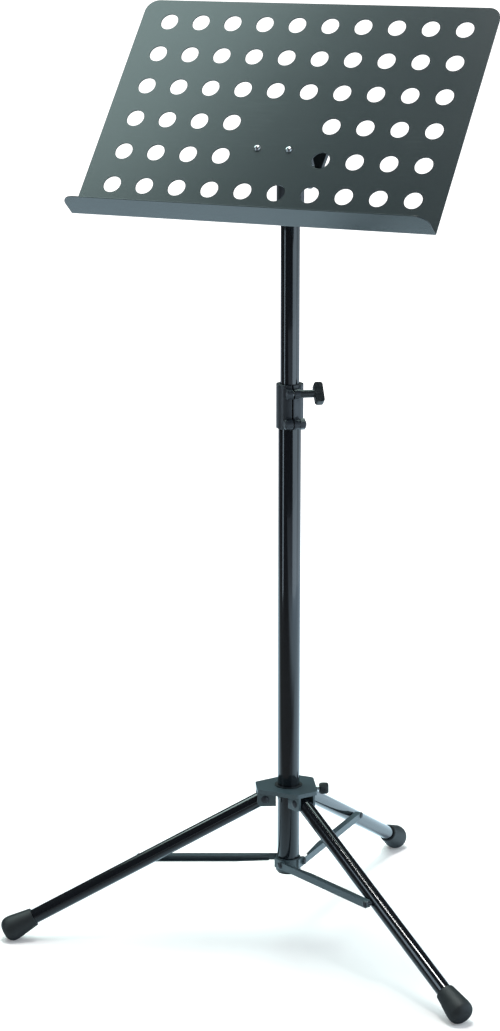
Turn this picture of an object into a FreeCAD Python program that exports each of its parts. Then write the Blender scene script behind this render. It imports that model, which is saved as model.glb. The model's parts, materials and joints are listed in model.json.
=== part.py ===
"""Folding music stand with a perforated desk, a two-part pole and a tripod base.

Frame: millimetres, +Z up, origin on the floor on the pole's axis.
The desk faces -Y and +X is the reader's right.
Driving dimensions are in the sheet Sizes. What follows from them is in the sheet Worked.
"""
import FreeCAD, Part
import math
import os
import re

import Sketcher
from FreeCAD import Placement, Rotation, Vector

SIZES = (
    # Clearances
    ("running", 0.05, "radial clearance of a pin or tube that turns or slides in its hole"),
    ("apart", 0.3, "gap between faces of pieces that move past each other"),
    # Pole
    ("lower_od", 30.0, "lower tube, outside diameter"),
    ("lower_wall", 1.5, "lower tube, wall"),
    ("pole_bottom", 91.3, "height of the lower tube's bottom end"),
    ("pole_length", 641.0, "lower tube, length"),
    ("upper_od", 25.0, "upper tube, outside diameter"),
    ("upper_wall", 1.25, "upper tube, wall"),
    ("upper_length", 602.0, "upper tube, length"),
    ("upper_overlap", 305.0, "upper tube, length inside the lower tube"),
    ("upper_drop", 12.0, "upper tube's top end, below the tilt axis"),
    ("bush_length", 38.0, "guide bush in the lower tube, length of its sleeve"),
    ("bush_flange", 2.0, "guide bush, thickness of its flange"),
    ("glide_length", 20.0, "glide under the upper tube, length of its sliding part"),
    ("glide_spigot", 16.0, "glide, length that stands in the upper tube"),
    ("plug_flange", 3.0, "end plug, thickness under the tube"),
    ("plug_depth", 12.0, "end plug, length in the tube"),
    # Height clamp
    ("collar_below", 26.5, "clamp collar, length below the lower tube's top end"),
    ("collar_above", 32.5, "clamp collar, length above the lower tube's top end"),
    ("collar_wall", 3.0, "clamp collar, wall round the lower tube"),
    ("slit", 2.0, "clamp collar, width of its slit"),
    ("lug_gap", 0.1, "flat of the pinch nut to the collar's wall"),
    ("lug_half", 9.0, "clamp lugs, half width across the slit"),
    ("lug_round", 6.5, "clamp lugs, radius round the screws"),
    ("clamp_above", 22.0, "clamp screw, above the lower tube's top end"),
    ("pinch_drop", 18.0, "pinch bolt, below the lower tube's top end"),
    ("clamp_turn", -53.0, "direction of the slit, degrees from +X"),
    ("clamp_screw", 6.0, "clamp screw, diameter"),
    ("clamp_neck", 10.5, "clamp knob, diameter of its neck"),
    ("clamp_neck_length", 18.5, "clamp knob, length of its neck"),
    ("clamp_span", 29.0, "clamp knob, span of its wings"),
    ("clamp_wing", 12.0, "clamp knob, height of its wings along the screw"),
    ("clamp_thick", 11.0, "clamp knob, thickness of its wings"),
    ("pinch_bolt", 8.0, "pinch bolt, diameter"),
    ("pinch_flats", 13.4, "pinch bolt and nut, width across flats"),
    ("pinch_nut", 6.5, "pinch nut, thickness"),
    ("pinch_head", 3.5, "pinch bolt head, thickness"),
    # Tripod hub
    ("hub_plate", 5.5, "hub plate, thickness"),
    ("hub_gap", 0.5, "gap between the hub plate and a leg's rounded end"),
    ("lobe_past", 11.0, "hub plate, from a leg rivet out to the plate's end"),
    ("lobe_lip", 3.7, "hub plate, width beside each cheek"),
    ("lobe_round", 6.0, "hub plate, radius of its corners"),
    ("hub_liner_wall", 2.0, "liner in the hub, wall"),
    ("hub_liner_rim", 1.5, "liner in the hub, thickness of its rims"),
    ("cheek_sheet", 3.0, "hub cheeks, thickness"),
    ("cheek_drop", 9.5, "hub cheeks, depth below the leg rivets"),
    ("cheek_offset", 3.0, "lower tube's face to the cheeks' inner edge"),
    ("cheek_past", 10.5, "hub cheeks, from a leg rivet out to their outer edge"),
    ("leg_turn", -30.0, "direction of the right leg, degrees from +X"),
    ("leg_pivot_reach", 33.0, "pole axis to the leg rivets"),
    ("leg_pivot_level", 195.8, "height of the leg rivets"),
    ("leg_rivet", 6.0, "leg rivets, diameter"),
    ("rivet_head", 11.0, "leg rivets, diameter of their heads"),
    ("rivet_dome", 2.2, "rivets, height of their heads"),
    ("lock_boss", 12.0, "boss round the lock screw, diameter"),
    ("lock_screw", 6.0, "lock screw, diameter"),
    ("lock_knob_gap", 5.0, "gap between the boss and the lock knob"),
    ("lock_knob_length", 12.5, "lock knob, length"),
    ("lock_knob_od", 16.0, "lock knob, diameter"),
    # Legs and feet
    ("leg_od", 20.0, "leg tube, outside diameter"),
    ("leg_wall", 1.2, "leg tube, wall"),
    ("foot_circle", 375.7, "pole axis to the point where a foot stands"),
    ("foot_od", 34.0, "foot, diameter at its end"),
    ("foot_mouth", 25.0, "foot, diameter at its mouth"),
    ("foot_length", 46.0, "foot, length"),
    ("foot_bottom", 10.0, "foot, thickness beyond the tube"),
    ("foot_round", 11.0, "foot, radius of its rounded end"),
    ("foot_flat", 0.5, "foot, depth of the flat that it stands on"),
    ("leg_fold", 3.0, "leg's angle from the pole when folded, degrees"),
    # Struts and their ring
    ("ring_wall", 2.0, "strut ring, wall"),
    ("ring_height", 18.0, "strut ring, height"),
    ("ear_offset", 3.5, "lower tube's face to the outer face of an ear"),
    ("ear_sheet", 3.0, "strut ring, thickness of an ear"),
    ("ear_round", 6.5, "strut ring, radius of an ear round its rivet"),
    ("strut_pivot_reach", 9.0, "strut rivet on the ring, distance along the leg's plane"),
    ("strut_pivot_above", 11.2, "strut rivet on the ring, above the lower tube's bottom end"),
    ("strut_joint", 191.0, "leg rivet to strut rivet, along the leg"),
    ("strut_height", 9.5, "strut, height of its channel"),
    ("strut_sheet", 1.5, "strut, sheet thickness"),
    ("strut_side", 1.4, "gap between a leg and its strut's open edge"),
    ("strut_start", 16.0, "strut, ring rivet to the start of its flanges"),
    ("strut_taper", 62.0, "strut, ring rivet to where its flanges are full"),
    ("strut_rivet", 5.0, "strut rivets, diameter"),
    ("strut_rivet_head", 9.0, "strut rivets, diameter of their heads"),
    # Head
    ("head_wall", 5.5, "head socket, wall"),
    ("head_drop", 44.0, "head socket's lower end, below the tilt axis"),
    ("barrel_od", 32.0, "head barrel on the tilt axis, diameter"),
    ("barrel_half", 26.0, "head barrel, half length"),
    ("head_roof", 4.0, "head socket, thickness over the tube's end"),
    ("head_screw_drop", 30.0, "head screw, below the tilt axis"),
    ("head_screw", 6.0, "head screw, diameter"),
    ("head_screw_cap", 10.0, "head screw, diameter of its cap"),
    ("head_screw_cap_height", 4.0, "head screw, height of its cap"),
    ("tilt_bolt", 8.0, "tilt bolt, diameter"),
    ("tilt_bolt_head", 18.0, "tilt bolt, diameter of its head"),
    ("tilt_bolt_dome", 4.5, "tilt bolt, height of its head"),
    ("tilt_bolt_tail", 13.0, "tilt bolt, length beyond the steel washer"),
    ("washer_od", 20.0, "steel washer, outside diameter"),
    ("washer_sheet", 1.5, "steel washer, thickness"),
    ("tilt_reach", 32.0, "tilt knob, bolt axis to the tip of its wing"),
    ("tilt_heel", 17.0, "tilt knob, bolt axis to its heel opposite the wing"),
    ("tilt_hub", 19.0, "tilt knob, diameter of its hub"),
    ("tilt_hub_length", 15.0, "tilt knob, length of its hub"),
    ("tilt_wing", 25.0, "tilt knob, width of its wing tip along the bolt"),
    ("tilt_flare", 9.0, "tilt knob, distance that its wing tip flares outwards"),
    ("tilt_thick", 9.0, "tilt knob, thickness of its wing"),
    # Desk bracket
    ("bracket_gap", 1.5, "end of the head barrel to the inside of a bracket cheek"),
    ("bracket_sheet", 2.0, "bracket, sheet thickness"),
    ("bracket_above", 24.0, "bracket, height above the tilt axis"),
    ("bracket_below", 26.0, "bracket, depth below the tilt axis"),
    ("bracket_round", 20.0, "bracket, radius round the tilt axis"),
    ("screw_half", 22.2, "desk screws, half spacing"),
    ("screw_below", 7.3, "desk screws, below the tilt axis along the desk"),
    ("desk_screw", 5.0, "desk screws, diameter"),
    ("desk_screw_head", 9.0, "desk screws, diameter of their heads"),
    ("desk_screw_dome", 3.0, "desk screws, height of their heads"),
    ("desk_nut_flats", 8.0, "desk nuts, width across flats"),
    ("desk_nut", 4.0, "desk nuts, thickness"),
    # Desk
    ("desk_tilt", 39.6, "desk's lean back from upright, degrees"),
    ("desk_reach", 62.9, "tilt axis to the desk's front face"),
    ("desk_width", 506.0, "desk, width"),
    ("desk_height", 341.0, "desk, height from the ledge's underside"),
    ("desk_below", 120.6, "ledge's underside, below the tilt axis along the desk"),
    ("desk_sheet", 1.5, "desk, sheet thickness"),
    ("desk_corner", 18.2, "desk, radius of its corners"),
    ("desk_bend", 3.0, "desk, outer radius of the bend to the ledge"),
    ("ledge_depth", 40.5, "ledge, depth in front of the desk's face"),
    ("hole_od", 24.2, "desk holes, diameter"),
    ("hole_side", 42.7, "outer hole centres to the desk's side edges"),
    ("hole_low", 48.1, "lowest hole centres above the ledge's underside"),
    ("hole_high", 35.0, "highest hole centres below the desk's top edge"),
)

HOLE_COLUMNS = 10
HOLE_ROWS = 6
SOLID_COLUMNS = (4, 5)
SOLID_ROWS = (1, 2)
CLAMP_KNOB_TURN = -38.0
TILT_KNOB_TURN = -140
LEGS = (("right", 0), ("rear", 120), ("left", 240))
X_AXIS = Vector(1, 0, 0)
Y_AXIS = Vector(0, 1, 0)
Z_AXIS = Vector(0, 0, 1)

doc = FreeCAD.newDocument("MusicStand")
nodes = {}


# Sheets

def add_sheet(name, rows):
    """One sheet with a name, a plain number and a note in each row."""
    sheet = doc.addObject("Spreadsheet::Sheet", name)
    for line, (alias, number, note) in enumerate(rows, start=1):
        sheet.set("A%d" % line, alias)
        sheet.set("B%d" % line, "%.9g" % number)
        sheet.set("C%d" % line, note)
        sheet.setAlias("B%d" % line, alias)
    doc.recompute()
    return sheet


def worked_sizes(size):
    """Levels, diameters and reaches that follow from the driving dimensions."""
    joint = size["pole_bottom"] + size["pole_length"]
    foot = joint - size["upper_overlap"]
    tube_face = size["lower_od"] / 2
    lug_wall = math.sqrt((tube_face + size["collar_wall"]) ** 2 - size["lug_half"] ** 2)
    hub_under = size["leg_pivot_level"] + size["leg_od"] / 2 + size["hub_gap"]
    hub_top = hub_under + size["hub_plate"]
    lobe_reach = size["leg_pivot_reach"] + size["lobe_past"]
    lobe_half = size["leg_od"] / 2 + size["apart"] + size["cheek_sheet"] + size["lobe_lip"]
    boss_end = lobe_reach * math.cos(math.radians(60)) + lobe_half * math.sin(math.radians(60))
    columns = HOLE_COLUMNS - 1
    rows = HOLE_ROWS - 1
    return (
        ("pole_joint", joint, "height of the lower tube's top end"),
        ("upper_foot", foot, "height of the upper tube's lower end"),
        ("tilt_level", foot + size["upper_length"] + size["upper_drop"], "height of the tilt axis"),
        ("collar_bottom", joint - size["collar_below"], "height of the collar's lower face"),
        ("collar_top", joint + size["collar_above"], "height of the collar's upper face"),
        ("collar_od", size["lower_od"] + 2 * size["collar_wall"], "collar, outside diameter"),
        ("clamp_level", joint + size["clamp_above"], "height of the clamp screw"),
        ("pinch_level", joint - size["pinch_drop"], "height of the pinch bolt"),
        ("lug_reach", lug_wall + size["pinch_flats"] / 2 + size["lug_gap"], "pole axis to the clamp screws"),
        ("hub_under", hub_under, "height of the hub plate's underside"),
        ("hub_top", hub_top, "height of the hub's upper face"),
        ("lobe_reach", lobe_reach, "pole axis to the hub plate's ends"),
        ("lobe_half", lobe_half, "half width of the hub plate's ends"),
        ("cheek_bottom", size["leg_pivot_level"] - size["cheek_drop"], "height of the cheeks' lower edge"),
        ("cheek_start", tube_face + size["cheek_offset"], "pole axis to the cheeks' inner edge"),
        ("cheek_end", size["leg_pivot_reach"] + size["cheek_past"], "pole axis to the cheeks' outer edge"),
        ("lock_level", hub_top - size["lock_boss"] / 2, "height of the lock screw"),
        ("lock_boss_end", boss_end, "pole axis to the end of the lock screw's boss"),
        ("lock_knob_start", boss_end + size["lock_knob_gap"], "pole axis to the lock knob's inner face"),
        ("ring_od", size["lower_od"] + 2 * size["ring_wall"], "strut ring, outside diameter"),
        ("ear_outer", tube_face + size["ear_offset"], "leg plane to the outer face of an ear"),
        ("strut_pivot_level", size["pole_bottom"] + size["strut_pivot_above"],
         "height of the ring's rivets"),
        ("head_od", size["upper_od"] + 2 * size["head_wall"], "head socket, outside diameter"),
        ("bracket_half", size["barrel_half"] + size["bracket_gap"] + size["bracket_sheet"],
         "bracket, half width over its cheeks"),
        ("hole_across", (size["desk_width"] - 2 * size["hole_side"]) / columns, "holes, spacing across"),
        ("hole_up", (size["desk_height"] - size["hole_low"] - size["hole_high"]) / rows,
         "holes, spacing up"),
    )


def worked_legs(size):
    """Lean and lengths of the legs and struts, from the points that they join."""
    drop = size["leg_pivot_level"] - size["foot_round"] + size["foot_flat"]
    span = size["foot_circle"] - size["leg_pivot_reach"]
    offset = size["foot_od"] / 2 - size["foot_round"]
    along = math.sqrt(span ** 2 + drop ** 2 - offset ** 2)
    lean = math.atan2(span, drop) + math.atan2(offset, along)
    reach = size["leg_pivot_reach"] - size["strut_pivot_reach"] + size["strut_joint"] * math.sin(lean)
    rise = size["leg_pivot_level"] - size["strut_pivot_level"] - size["strut_joint"] * math.cos(lean)
    return (
        ("leg_lean", math.degrees(lean), "leg's angle from the pole at rest, degrees"),
        ("leg_end", along + size["foot_round"], "leg rivet to the foot's end"),
        ("strut_length", math.hypot(reach, rise), "distance between a strut's rivets"),
        ("strut_rise", math.degrees(math.atan2(rise, reach)), "strut's angle above level, degrees"),
    )


SIZE = {alias: number for alias, number, _ in SIZES}
WORKED = worked_sizes(SIZE)
SIZE.update({alias: number for alias, number, _ in WORKED})
WORKED += worked_legs(SIZE)
SIZE.update({alias: number for alias, number, _ in WORKED})
sizes = add_sheet("Sizes", SIZES)
add_sheet("Worked", WORKED)
WORKED_NAMES = [alias for alias, _, _ in WORKED]


def bound(expression):
    """Puts the name of the sheet that holds it before each alias in an expression."""
    def with_sheet(match):
        word = match.group(0)
        if word in WORKED_NAMES:
            return "Worked." + word
        if word in SIZE:
            return "Sizes." + word
        return word
    return re.sub(r"[A-Za-z_]\w*", with_sheet, expression)


def number(expression):
    """Value of an expression in the sheets' aliases."""
    return float(sizes.evalExpression(bound(expression)))


# Sketches and features

def new_body(label):
    body = doc.addObject("PartDesign::Body", label)
    body.Label = label
    nodes[label] = body
    return body


def origin_plane(body, role):
    return next(feature for feature in body.Origin.OriginFeatures if feature.Role == role)


def sketch_on(body, role, raised="0"):
    """Empty sketch on one of the body's origin planes, raised along that plane's normal."""
    sketch = body.newObject("Sketcher::SketchObject", body.Name + "_sketch")
    sketch.AttachmentSupport = [(origin_plane(body, role), "")]
    sketch.MapMode = "FlatFace"
    sketch.setExpression("AttachmentOffset.Base.z", bound(raised))
    return sketch


def bind(sketch, constraint, expression):
    index = sketch.addConstraint(constraint)
    sketch.setExpression("Constraints[%d]" % index, bound(expression))


def locate(sketch, element, point, x, y):
    """Ties a point of a sketch element to its distances from the sketch's origin."""
    bind(sketch, Sketcher.Constraint("DistanceX", -1, 1, element, point, number(x)), x)
    bind(sketch, Sketcher.Constraint("DistanceY", -1, 1, element, point, number(y)), y)


def draw_circle(sketch, radius, x="0", y="0"):
    centre = Vector(number(x), number(y), 0)
    element = sketch.addGeometry(Part.Circle(centre, Z_AXIS, number(radius)))
    bind(sketch, Sketcher.Constraint("Radius", element, number(radius)), radius)
    locate(sketch, element, 3, x, y)


def draw_polygon(sketch, corners):
    """Closed outline through corners, each an x and a y expression."""
    points = [Vector(number(x), number(y), 0) for x, y in corners]
    first = sketch.GeometryCount
    count = len(points)
    for index in range(count):
        sketch.addGeometry(Part.LineSegment(points[index], points[(index + 1) % count]))
    for index in range(count):
        following = first + (index + 1) % count
        sketch.addConstraint(Sketcher.Constraint("Coincident", first + index, 2, following, 1))
    for index, (x, y) in enumerate(corners):
        locate(sketch, first + index, 1, x, y)


def draw_box(sketch, x_low, x_high, y_low, y_high):
    draw_polygon(sketch, ((x_low, y_low), (x_high, y_low), (x_high, y_high), (x_low, y_high)))


def pad(body, sketch, length, symmetric=False, reverse=False):
    feature = body.newObject("PartDesign::Pad", body.Name + "_pad")
    feature.Profile = sketch
    feature.setExpression("Length", bound(length))
    feature.SideType = "Symmetric" if symmetric else "One side"
    feature.Reversed = reverse
    doc.recompute()
    return feature


def pocket(body, sketch, length, symmetric=True, reverse=False):
    """Cuts a sketch's outline away, and stops if nothing was cut."""
    before = body.Shape.Volume
    feature = body.newObject("PartDesign::Pocket", body.Name + "_pocket")
    feature.Profile = sketch
    feature.setExpression("Length", bound(length))
    feature.SideType = "Symmetric" if symmetric else "One side"
    feature.Reversed = reverse
    doc.recompute()
    if not body.Shape.Volume < before:
        raise RuntimeError("a pocket in %s cuts nothing" % body.Label)
    return feature


def repeat_round(body, features):
    """Repeats features at the three legs, round the pole's axis."""
    pattern = body.newObject("PartDesign::PolarPattern", body.Name + "_pattern")
    pattern.Originals = features
    pattern.Axis = (origin_plane(body, "Z_Axis"), [""])
    pattern.Angle = 360
    pattern.Occurrences = len(LEGS)
    body.Tip = pattern
    doc.recompute()
    return pattern


def fillet(body, radius, chosen):
    """Rounds those edges of a body that the function chosen accepts."""
    base = body.Tip
    names = [
        "Edge%d" % count
        for count, edge in enumerate(base.Shape.Edges, start=1)
        if chosen(edge)
    ]
    if not names:
        raise RuntimeError("no edge to round in %s" % body.Label)
    feature = body.newObject("PartDesign::Fillet", body.Name + "_fillet")
    feature.Base = (base, names)
    feature.setExpression("Radius", bound(radius))
    doc.recompute()
    return feature


def along(edge, axis):
    """True for a straight edge that runs along an axis."""
    if edge.Curve.TypeId != "Part::GeomLine":
        return False
    return abs(abs(edge.tangentAt(edge.FirstParameter).dot(axis)) - 1) < 1e-6


def near(edge, x=None, y=None, z=None):
    """True where an edge's middle has the coordinates that are given."""
    middle = edge.valueAt((edge.FirstParameter + edge.LastParameter) / 2)
    wanted = ((middle.x, x), (middle.y, y), (middle.z, z))
    return all(place is None or abs(at - place) < 1e-3 for at, place in wanted)


def turned(label, corners):
    """Piece turned about its own Z axis, from corners given as radius and height."""
    body = new_body(label)
    sketch = sketch_on(body, "XZ_Plane")
    draw_polygon(sketch, corners)
    feature = body.newObject("PartDesign::Revolution", label + "_turned")
    feature.Profile = sketch
    feature.ReferenceAxis = (sketch, ["V_Axis"])
    feature.Angle = 360
    doc.recompute()
    return body


def solid(kind, label, **expressions):
    """Part primitive with its sizes bound to the sheets."""
    piece = doc.addObject("Part::" + kind, label)
    for name, expression in expressions.items():
        piece.setExpression(name, bound(expression))
    return piece


def joined(kind, label, base, tool):
    """Cut, Common or Fuse of two pieces."""
    piece = doc.addObject("Part::" + kind, label)
    if kind == "Cut":
        piece.Base = base
        piece.Tool = tool
    else:
        piece.Shapes = [base, tool]
    piece.Label = label
    return piece


def place(piece, x=0.0, y=0.0, z=0.0, turn=Rotation()):
    piece.Placement = Placement(Vector(x, y, z), turn)
    return piece


def group(label, members):
    """One node of like pieces, each a solid of its own."""
    for member in members:
        nodes.pop(member.Label, None)
    compound = doc.addObject("Part::Compound", label)
    compound.Label = label
    compound.Links = members
    nodes[label] = compound
    return compound


# Places

def leg_azimuths():
    return [(side, SIZE["leg_turn"] + step) for side, step in LEGS]


def about(axis, degrees):
    return Rotation(axis, degrees)


def leg_frame(azimuth):
    """Places a piece whose Z runs down a leg and whose Y is square to the leg's plane."""
    turn = about(Z_AXIS, azimuth) * about(Y_AXIS, 180 - SIZE["leg_lean"])
    reach = about(Z_AXIS, azimuth).multVec(Vector(SIZE["leg_pivot_reach"], 0, SIZE["leg_pivot_level"]))
    return Placement(reach, turn)


def strut_frame(azimuth):
    """Places a piece whose X runs along a strut and whose Y is square to the leg's plane."""
    turn = about(Z_AXIS, azimuth) * about(Y_AXIS, -SIZE["strut_rise"])
    reach = about(Z_AXIS, azimuth).multVec(Vector(SIZE["strut_pivot_reach"], 0, SIZE["strut_pivot_level"]))
    return Placement(reach, turn)


def crossways(frame, shift):
    """Frame whose Z points along another frame's -Y, moved along it by shift."""
    return frame.multiply(Placement(Vector(0, -shift, 0), about(X_AXIS, 90)))


def desk_frame():
    """Frame on the tilt axis, in which the desk stands upright."""
    return Placement(Vector(0, 0, SIZE["tilt_level"]), about(X_AXIS, -SIZE["desk_tilt"]))


def radial_frame(azimuth, reach, level):
    """Frame whose Z points outwards from the pole."""
    turn = about(Z_AXIS, azimuth) * about(Y_AXIS, 90)
    return Placement(about(Z_AXIS, azimuth).multVec(Vector(reach, 0, level)), turn)


# Pole

def make_tube(label, od, wall, length, level):
    body = new_body(label)
    sketch = sketch_on(body, "XY_Plane")
    draw_circle(sketch, od + " / 2")
    draw_circle(sketch, "%s / 2 - %s" % (od, wall))
    pad(body, sketch, length)
    return place(body, z=number(level))


def make_pole():
    make_tube("lower_tube", "lower_od", "lower_wall", "pole_length", "pole_bottom")
    make_tube("upper_tube", "upper_od", "upper_wall", "upper_length", "upper_foot")
    lower_bore = "lower_od / 2 - lower_wall"
    plug = turned("pole_end_plug", (
        ("0", "-plug_flange"),
        ("lower_od / 2", "-plug_flange"),
        ("lower_od / 2", "0"),
        (lower_bore, "0"),
        (lower_bore, "plug_depth"),
        ("0", "plug_depth"),
    ))
    place(plug, z=SIZE["pole_bottom"])
    bush = turned("guide_bush", (
        ("upper_od / 2 + running", "-bush_length"),
        (lower_bore, "-bush_length"),
        (lower_bore, "0"),
        ("lower_od / 2", "0"),
        ("lower_od / 2", "bush_flange"),
        ("upper_od / 2 + running", "bush_flange"),
    ))
    place(bush, z=SIZE["pole_joint"])
    glide = turned("tube_glide", (
        ("0", "-glide_length"),
        (lower_bore + " - running", "-glide_length"),
        (lower_bore + " - running", "-apart"),
        ("upper_od / 2 - upper_wall - running", "-apart"),
        ("upper_od / 2 - upper_wall - running", "glide_spigot"),
        ("0", "glide_spigot"),
    ))
    place(glide, z=SIZE["upper_foot"])


# Height clamp

def clamp_frame(level):
    """Frame at the clamp screws, whose Z points along them, away from the slit."""
    azimuth = SIZE["clamp_turn"]
    centre = about(Z_AXIS, azimuth).multVec(Vector(SIZE["lug_reach"], 0, level))
    return Placement(centre, about(Z_AXIS, azimuth + 90) * about(Y_AXIS, 90))


def make_collar():
    """Split collar: its lower half grips the lower tube and its upper half the upper tube."""
    body = new_body("clamp_collar")
    ring = sketch_on(body, "XY_Plane", "collar_bottom")
    draw_circle(ring, "collar_od / 2")
    pad(body, ring, "collar_top - collar_bottom")
    for level in ("clamp_level", "pinch_level"):
        barrel = sketch_on(body, "XZ_Plane")
        draw_circle(barrel, "lug_round", "lug_reach", level)
        pad(body, barrel, "2 * lug_half", symmetric=True)
        web = sketch_on(body, "XZ_Plane")
        draw_box(web, "0", "lug_reach", level + " - lug_round", level + " + lug_round")
        pad(body, web, "2 * lug_half", symmetric=True)
    wide = sketch_on(body, "XY_Plane", "collar_bottom")
    draw_circle(wide, "lower_od / 2")
    pocket(body, wide, "pole_joint + bush_flange - collar_bottom", symmetric=False, reverse=True)
    narrow = sketch_on(body, "XY_Plane", "pole_joint")
    draw_circle(narrow, "upper_od / 2 + running")
    pocket(body, narrow, "collar_top - pole_joint + lug_round", symmetric=False, reverse=True)
    slot = sketch_on(body, "XY_Plane", "collar_top")
    draw_box(slot, "0", "lug_reach + 2 * lug_round", "-slit / 2", "slit / 2")
    pocket(body, slot, "2 * (collar_top - collar_bottom)")
    for level, bore in (("clamp_level", "clamp_screw / 2 + running"), ("pinch_level", "pinch_bolt / 2")):
        hole = sketch_on(body, "XZ_Plane")
        draw_circle(hole, bore, "lug_reach", level)
        pocket(body, hole, "3 * lug_half")
    place(body, turn=about(Z_AXIS, SIZE["clamp_turn"]))


def make_pinch_bolt():
    """Bolt and nut that hold the collar on the lower tube."""
    frame = clamp_frame(SIZE["pinch_level"])
    bolt = turned("pinch_bolt", (
        ("0", "-lug_half - pinch_head"),
        ("pinch_flats / 2 - pinch_head / 2", "-lug_half - pinch_head"),
        ("pinch_flats / 2", "-lug_half - pinch_head / 2"),
        ("pinch_flats / 2", "-lug_half"),
        ("pinch_bolt / 2", "-lug_half"),
        ("pinch_bolt / 2", "lug_half + pinch_nut + desk_sheet"),
        ("0", "lug_half + pinch_nut + desk_sheet"),
    ))
    bolt.Placement = frame
    nut = hexagon_nut("pinch_nut", "pinch_flats", "pinch_nut", "pinch_bolt / 2")
    nut.Placement = frame.multiply(Placement(Vector(0, 0, SIZE["lug_half"]), Rotation()))


def hexagon_nut(label, flats, height, bore):
    prism = solid("Prism", label + "_prism", Circumradius="%s / 2 / cos(30 deg)" % flats, Height=height)
    prism.Polygon = 6
    nut = joined("Cut", label, prism, solid("Cylinder", label + "_bore", Radius=bore, Height=height))
    nodes[label] = nut
    return nut


def make_clamp_knob():
    """Screw that closes the collar on the upper tube, with a winged knob moulded on it."""
    frame = clamp_frame(SIZE["clamp_level"])
    screw = turned("clamp_screw", (
        ("0", "-lug_half"),
        ("clamp_screw / 2", "-lug_half"),
        ("clamp_screw / 2", "lug_half + apart + clamp_neck_length"),
        ("0", "lug_half + apart + clamp_neck_length"),
    ))
    screw.Placement = frame
    body = new_body("clamp_knob")
    neck = sketch_on(body, "XY_Plane")
    draw_circle(neck, "clamp_neck / 2")
    pad(body, neck, "clamp_neck_length + clamp_wing / 2")
    wings = sketch_on(body, "XZ_Plane")
    tip = "clamp_neck_length + clamp_wing"
    draw_box(wings, "-clamp_span / 2", "clamp_span / 2", "clamp_neck_length", tip)
    pad(body, wings, "clamp_thick", symmetric=True)
    fillet(body, "clamp_thick / 3", lambda edge: along(edge, Y_AXIS))
    bore = sketch_on(body, "XY_Plane")
    draw_circle(bore, "clamp_screw / 2")
    pocket(body, bore, "clamp_neck_length", symmetric=False, reverse=True)
    seat = Placement(Vector(0, 0, number("lug_half + apart")), about(Z_AXIS, CLAMP_KNOB_TURN))
    body.Placement = frame.multiply(seat)


# Tripod

def make_hub():
    """Six-sided plate with two cheeks for a leg under each of its three ends."""
    body = new_body("hub")
    plate = sketch_on(body, "XY_Plane", "hub_under")
    draw_polygon(plate, tuple(
        ("lobe_reach * cos(%d deg) - %d * lobe_half * sin(%d deg)" % (turn, side, turn),
         "lobe_reach * sin(%d deg) + %d * lobe_half * cos(%d deg)" % (turn, side, turn))
        for turn in (60, 180, 300)
        for side in (-1, 1)
    ))
    pad(body, plate, "hub_plate")
    fillet(body, "lobe_round", lambda edge: along(edge, Z_AXIS))
    parts = []
    inner = "(leg_od / 2 + apart)"
    for low, high in ((inner, inner + " + cheek_sheet"), ("-%s - cheek_sheet" % inner, "-" + inner)):
        cheek = sketch_on(body, "XY_Plane", "cheek_bottom")
        draw_box(cheek, "-cheek_end", "-cheek_start", low, high)
        parts.append(pad(body, cheek, "hub_top - hub_plate / 2 - cheek_bottom"))
    rivet_hole = sketch_on(body, "XZ_Plane")
    draw_circle(rivet_hole, "leg_rivet / 2", "-leg_pivot_reach", "leg_pivot_level")
    parts.append(pocket(body, rivet_hole, "leg_od + 4 * cheek_sheet"))
    repeat_round(body, parts)
    boss = sketch_on(body, "YZ_Plane")
    draw_circle(boss, "lock_boss / 2", "0", "lock_level")
    pad(body, boss, "lock_boss_end")
    lowest = SIZE["cheek_bottom"]
    fillet(body, "2 * cheek_sheet", lambda edge: is_cheek_corner(edge, lowest))
    bore = sketch_on(body, "XY_Plane", "hub_top")
    draw_circle(bore, "lower_od / 2 + running + hub_liner_wall")
    pocket(body, bore, "2 * (hub_top - cheek_bottom)")
    screw_hole = sketch_on(body, "YZ_Plane", "lock_boss_end")
    draw_circle(screw_hole, "lock_screw / 2 + running", "0", "lock_level")
    pocket(body, screw_hole, "lock_boss_end", symmetric=False)
    place(body, turn=about(Z_AXIS, lock_azimuth()))


def is_cheek_corner(edge, lowest):
    """True for the short lower edge at the outer end of a hub cheek."""
    if edge.Curve.TypeId != "Part::GeomLine" or abs(edge.Length - SIZE["cheek_sheet"]) > 1e-3:
        return False
    middle = edge.CenterOfMass
    return abs(middle.z - lowest) < 1e-3 and math.hypot(middle.x, middle.y) > SIZE["leg_pivot_reach"]


def lock_azimuth():
    """The lock screw stands halfway between the right leg and the rear leg."""
    return SIZE["leg_turn"] + 60


def make_hub_liner():
    """Plastic liner with a rim above and below the hub plate, which slides on the lower tube."""
    inner = "lower_od / 2 + running"
    outer = inner + " + hub_liner_wall"
    under = "hub_under"
    shell = turned("hub_liner_shell", (
        (inner, under + " - hub_liner_rim"),
        (outer + " + hub_liner_rim", under + " - hub_liner_rim"),
        (outer + " + hub_liner_rim", under),
        (outer, under),
        (outer, "hub_top"),
        (outer + " + hub_liner_rim", "hub_top"),
        (outer + " + hub_liner_rim", "hub_top + hub_liner_rim"),
        (inner, "hub_top + hub_liner_rim"),
    ))
    drill = solid("Cylinder", "hub_liner_drill", Radius="lock_boss / 2 + apart", Height="lock_boss_end")
    drill.Placement = radial_frame(lock_azimuth(), 0, SIZE["lock_level"])
    finish("hub_liner", joined("Cut", "hub_liner", shell, drill), shell)


def finish(label, piece, *inside):
    """Makes a piece the node and drops the bodies that went into it."""
    for member in inside:
        nodes.pop(member.Label, None)
    nodes[label] = piece
    return piece


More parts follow.
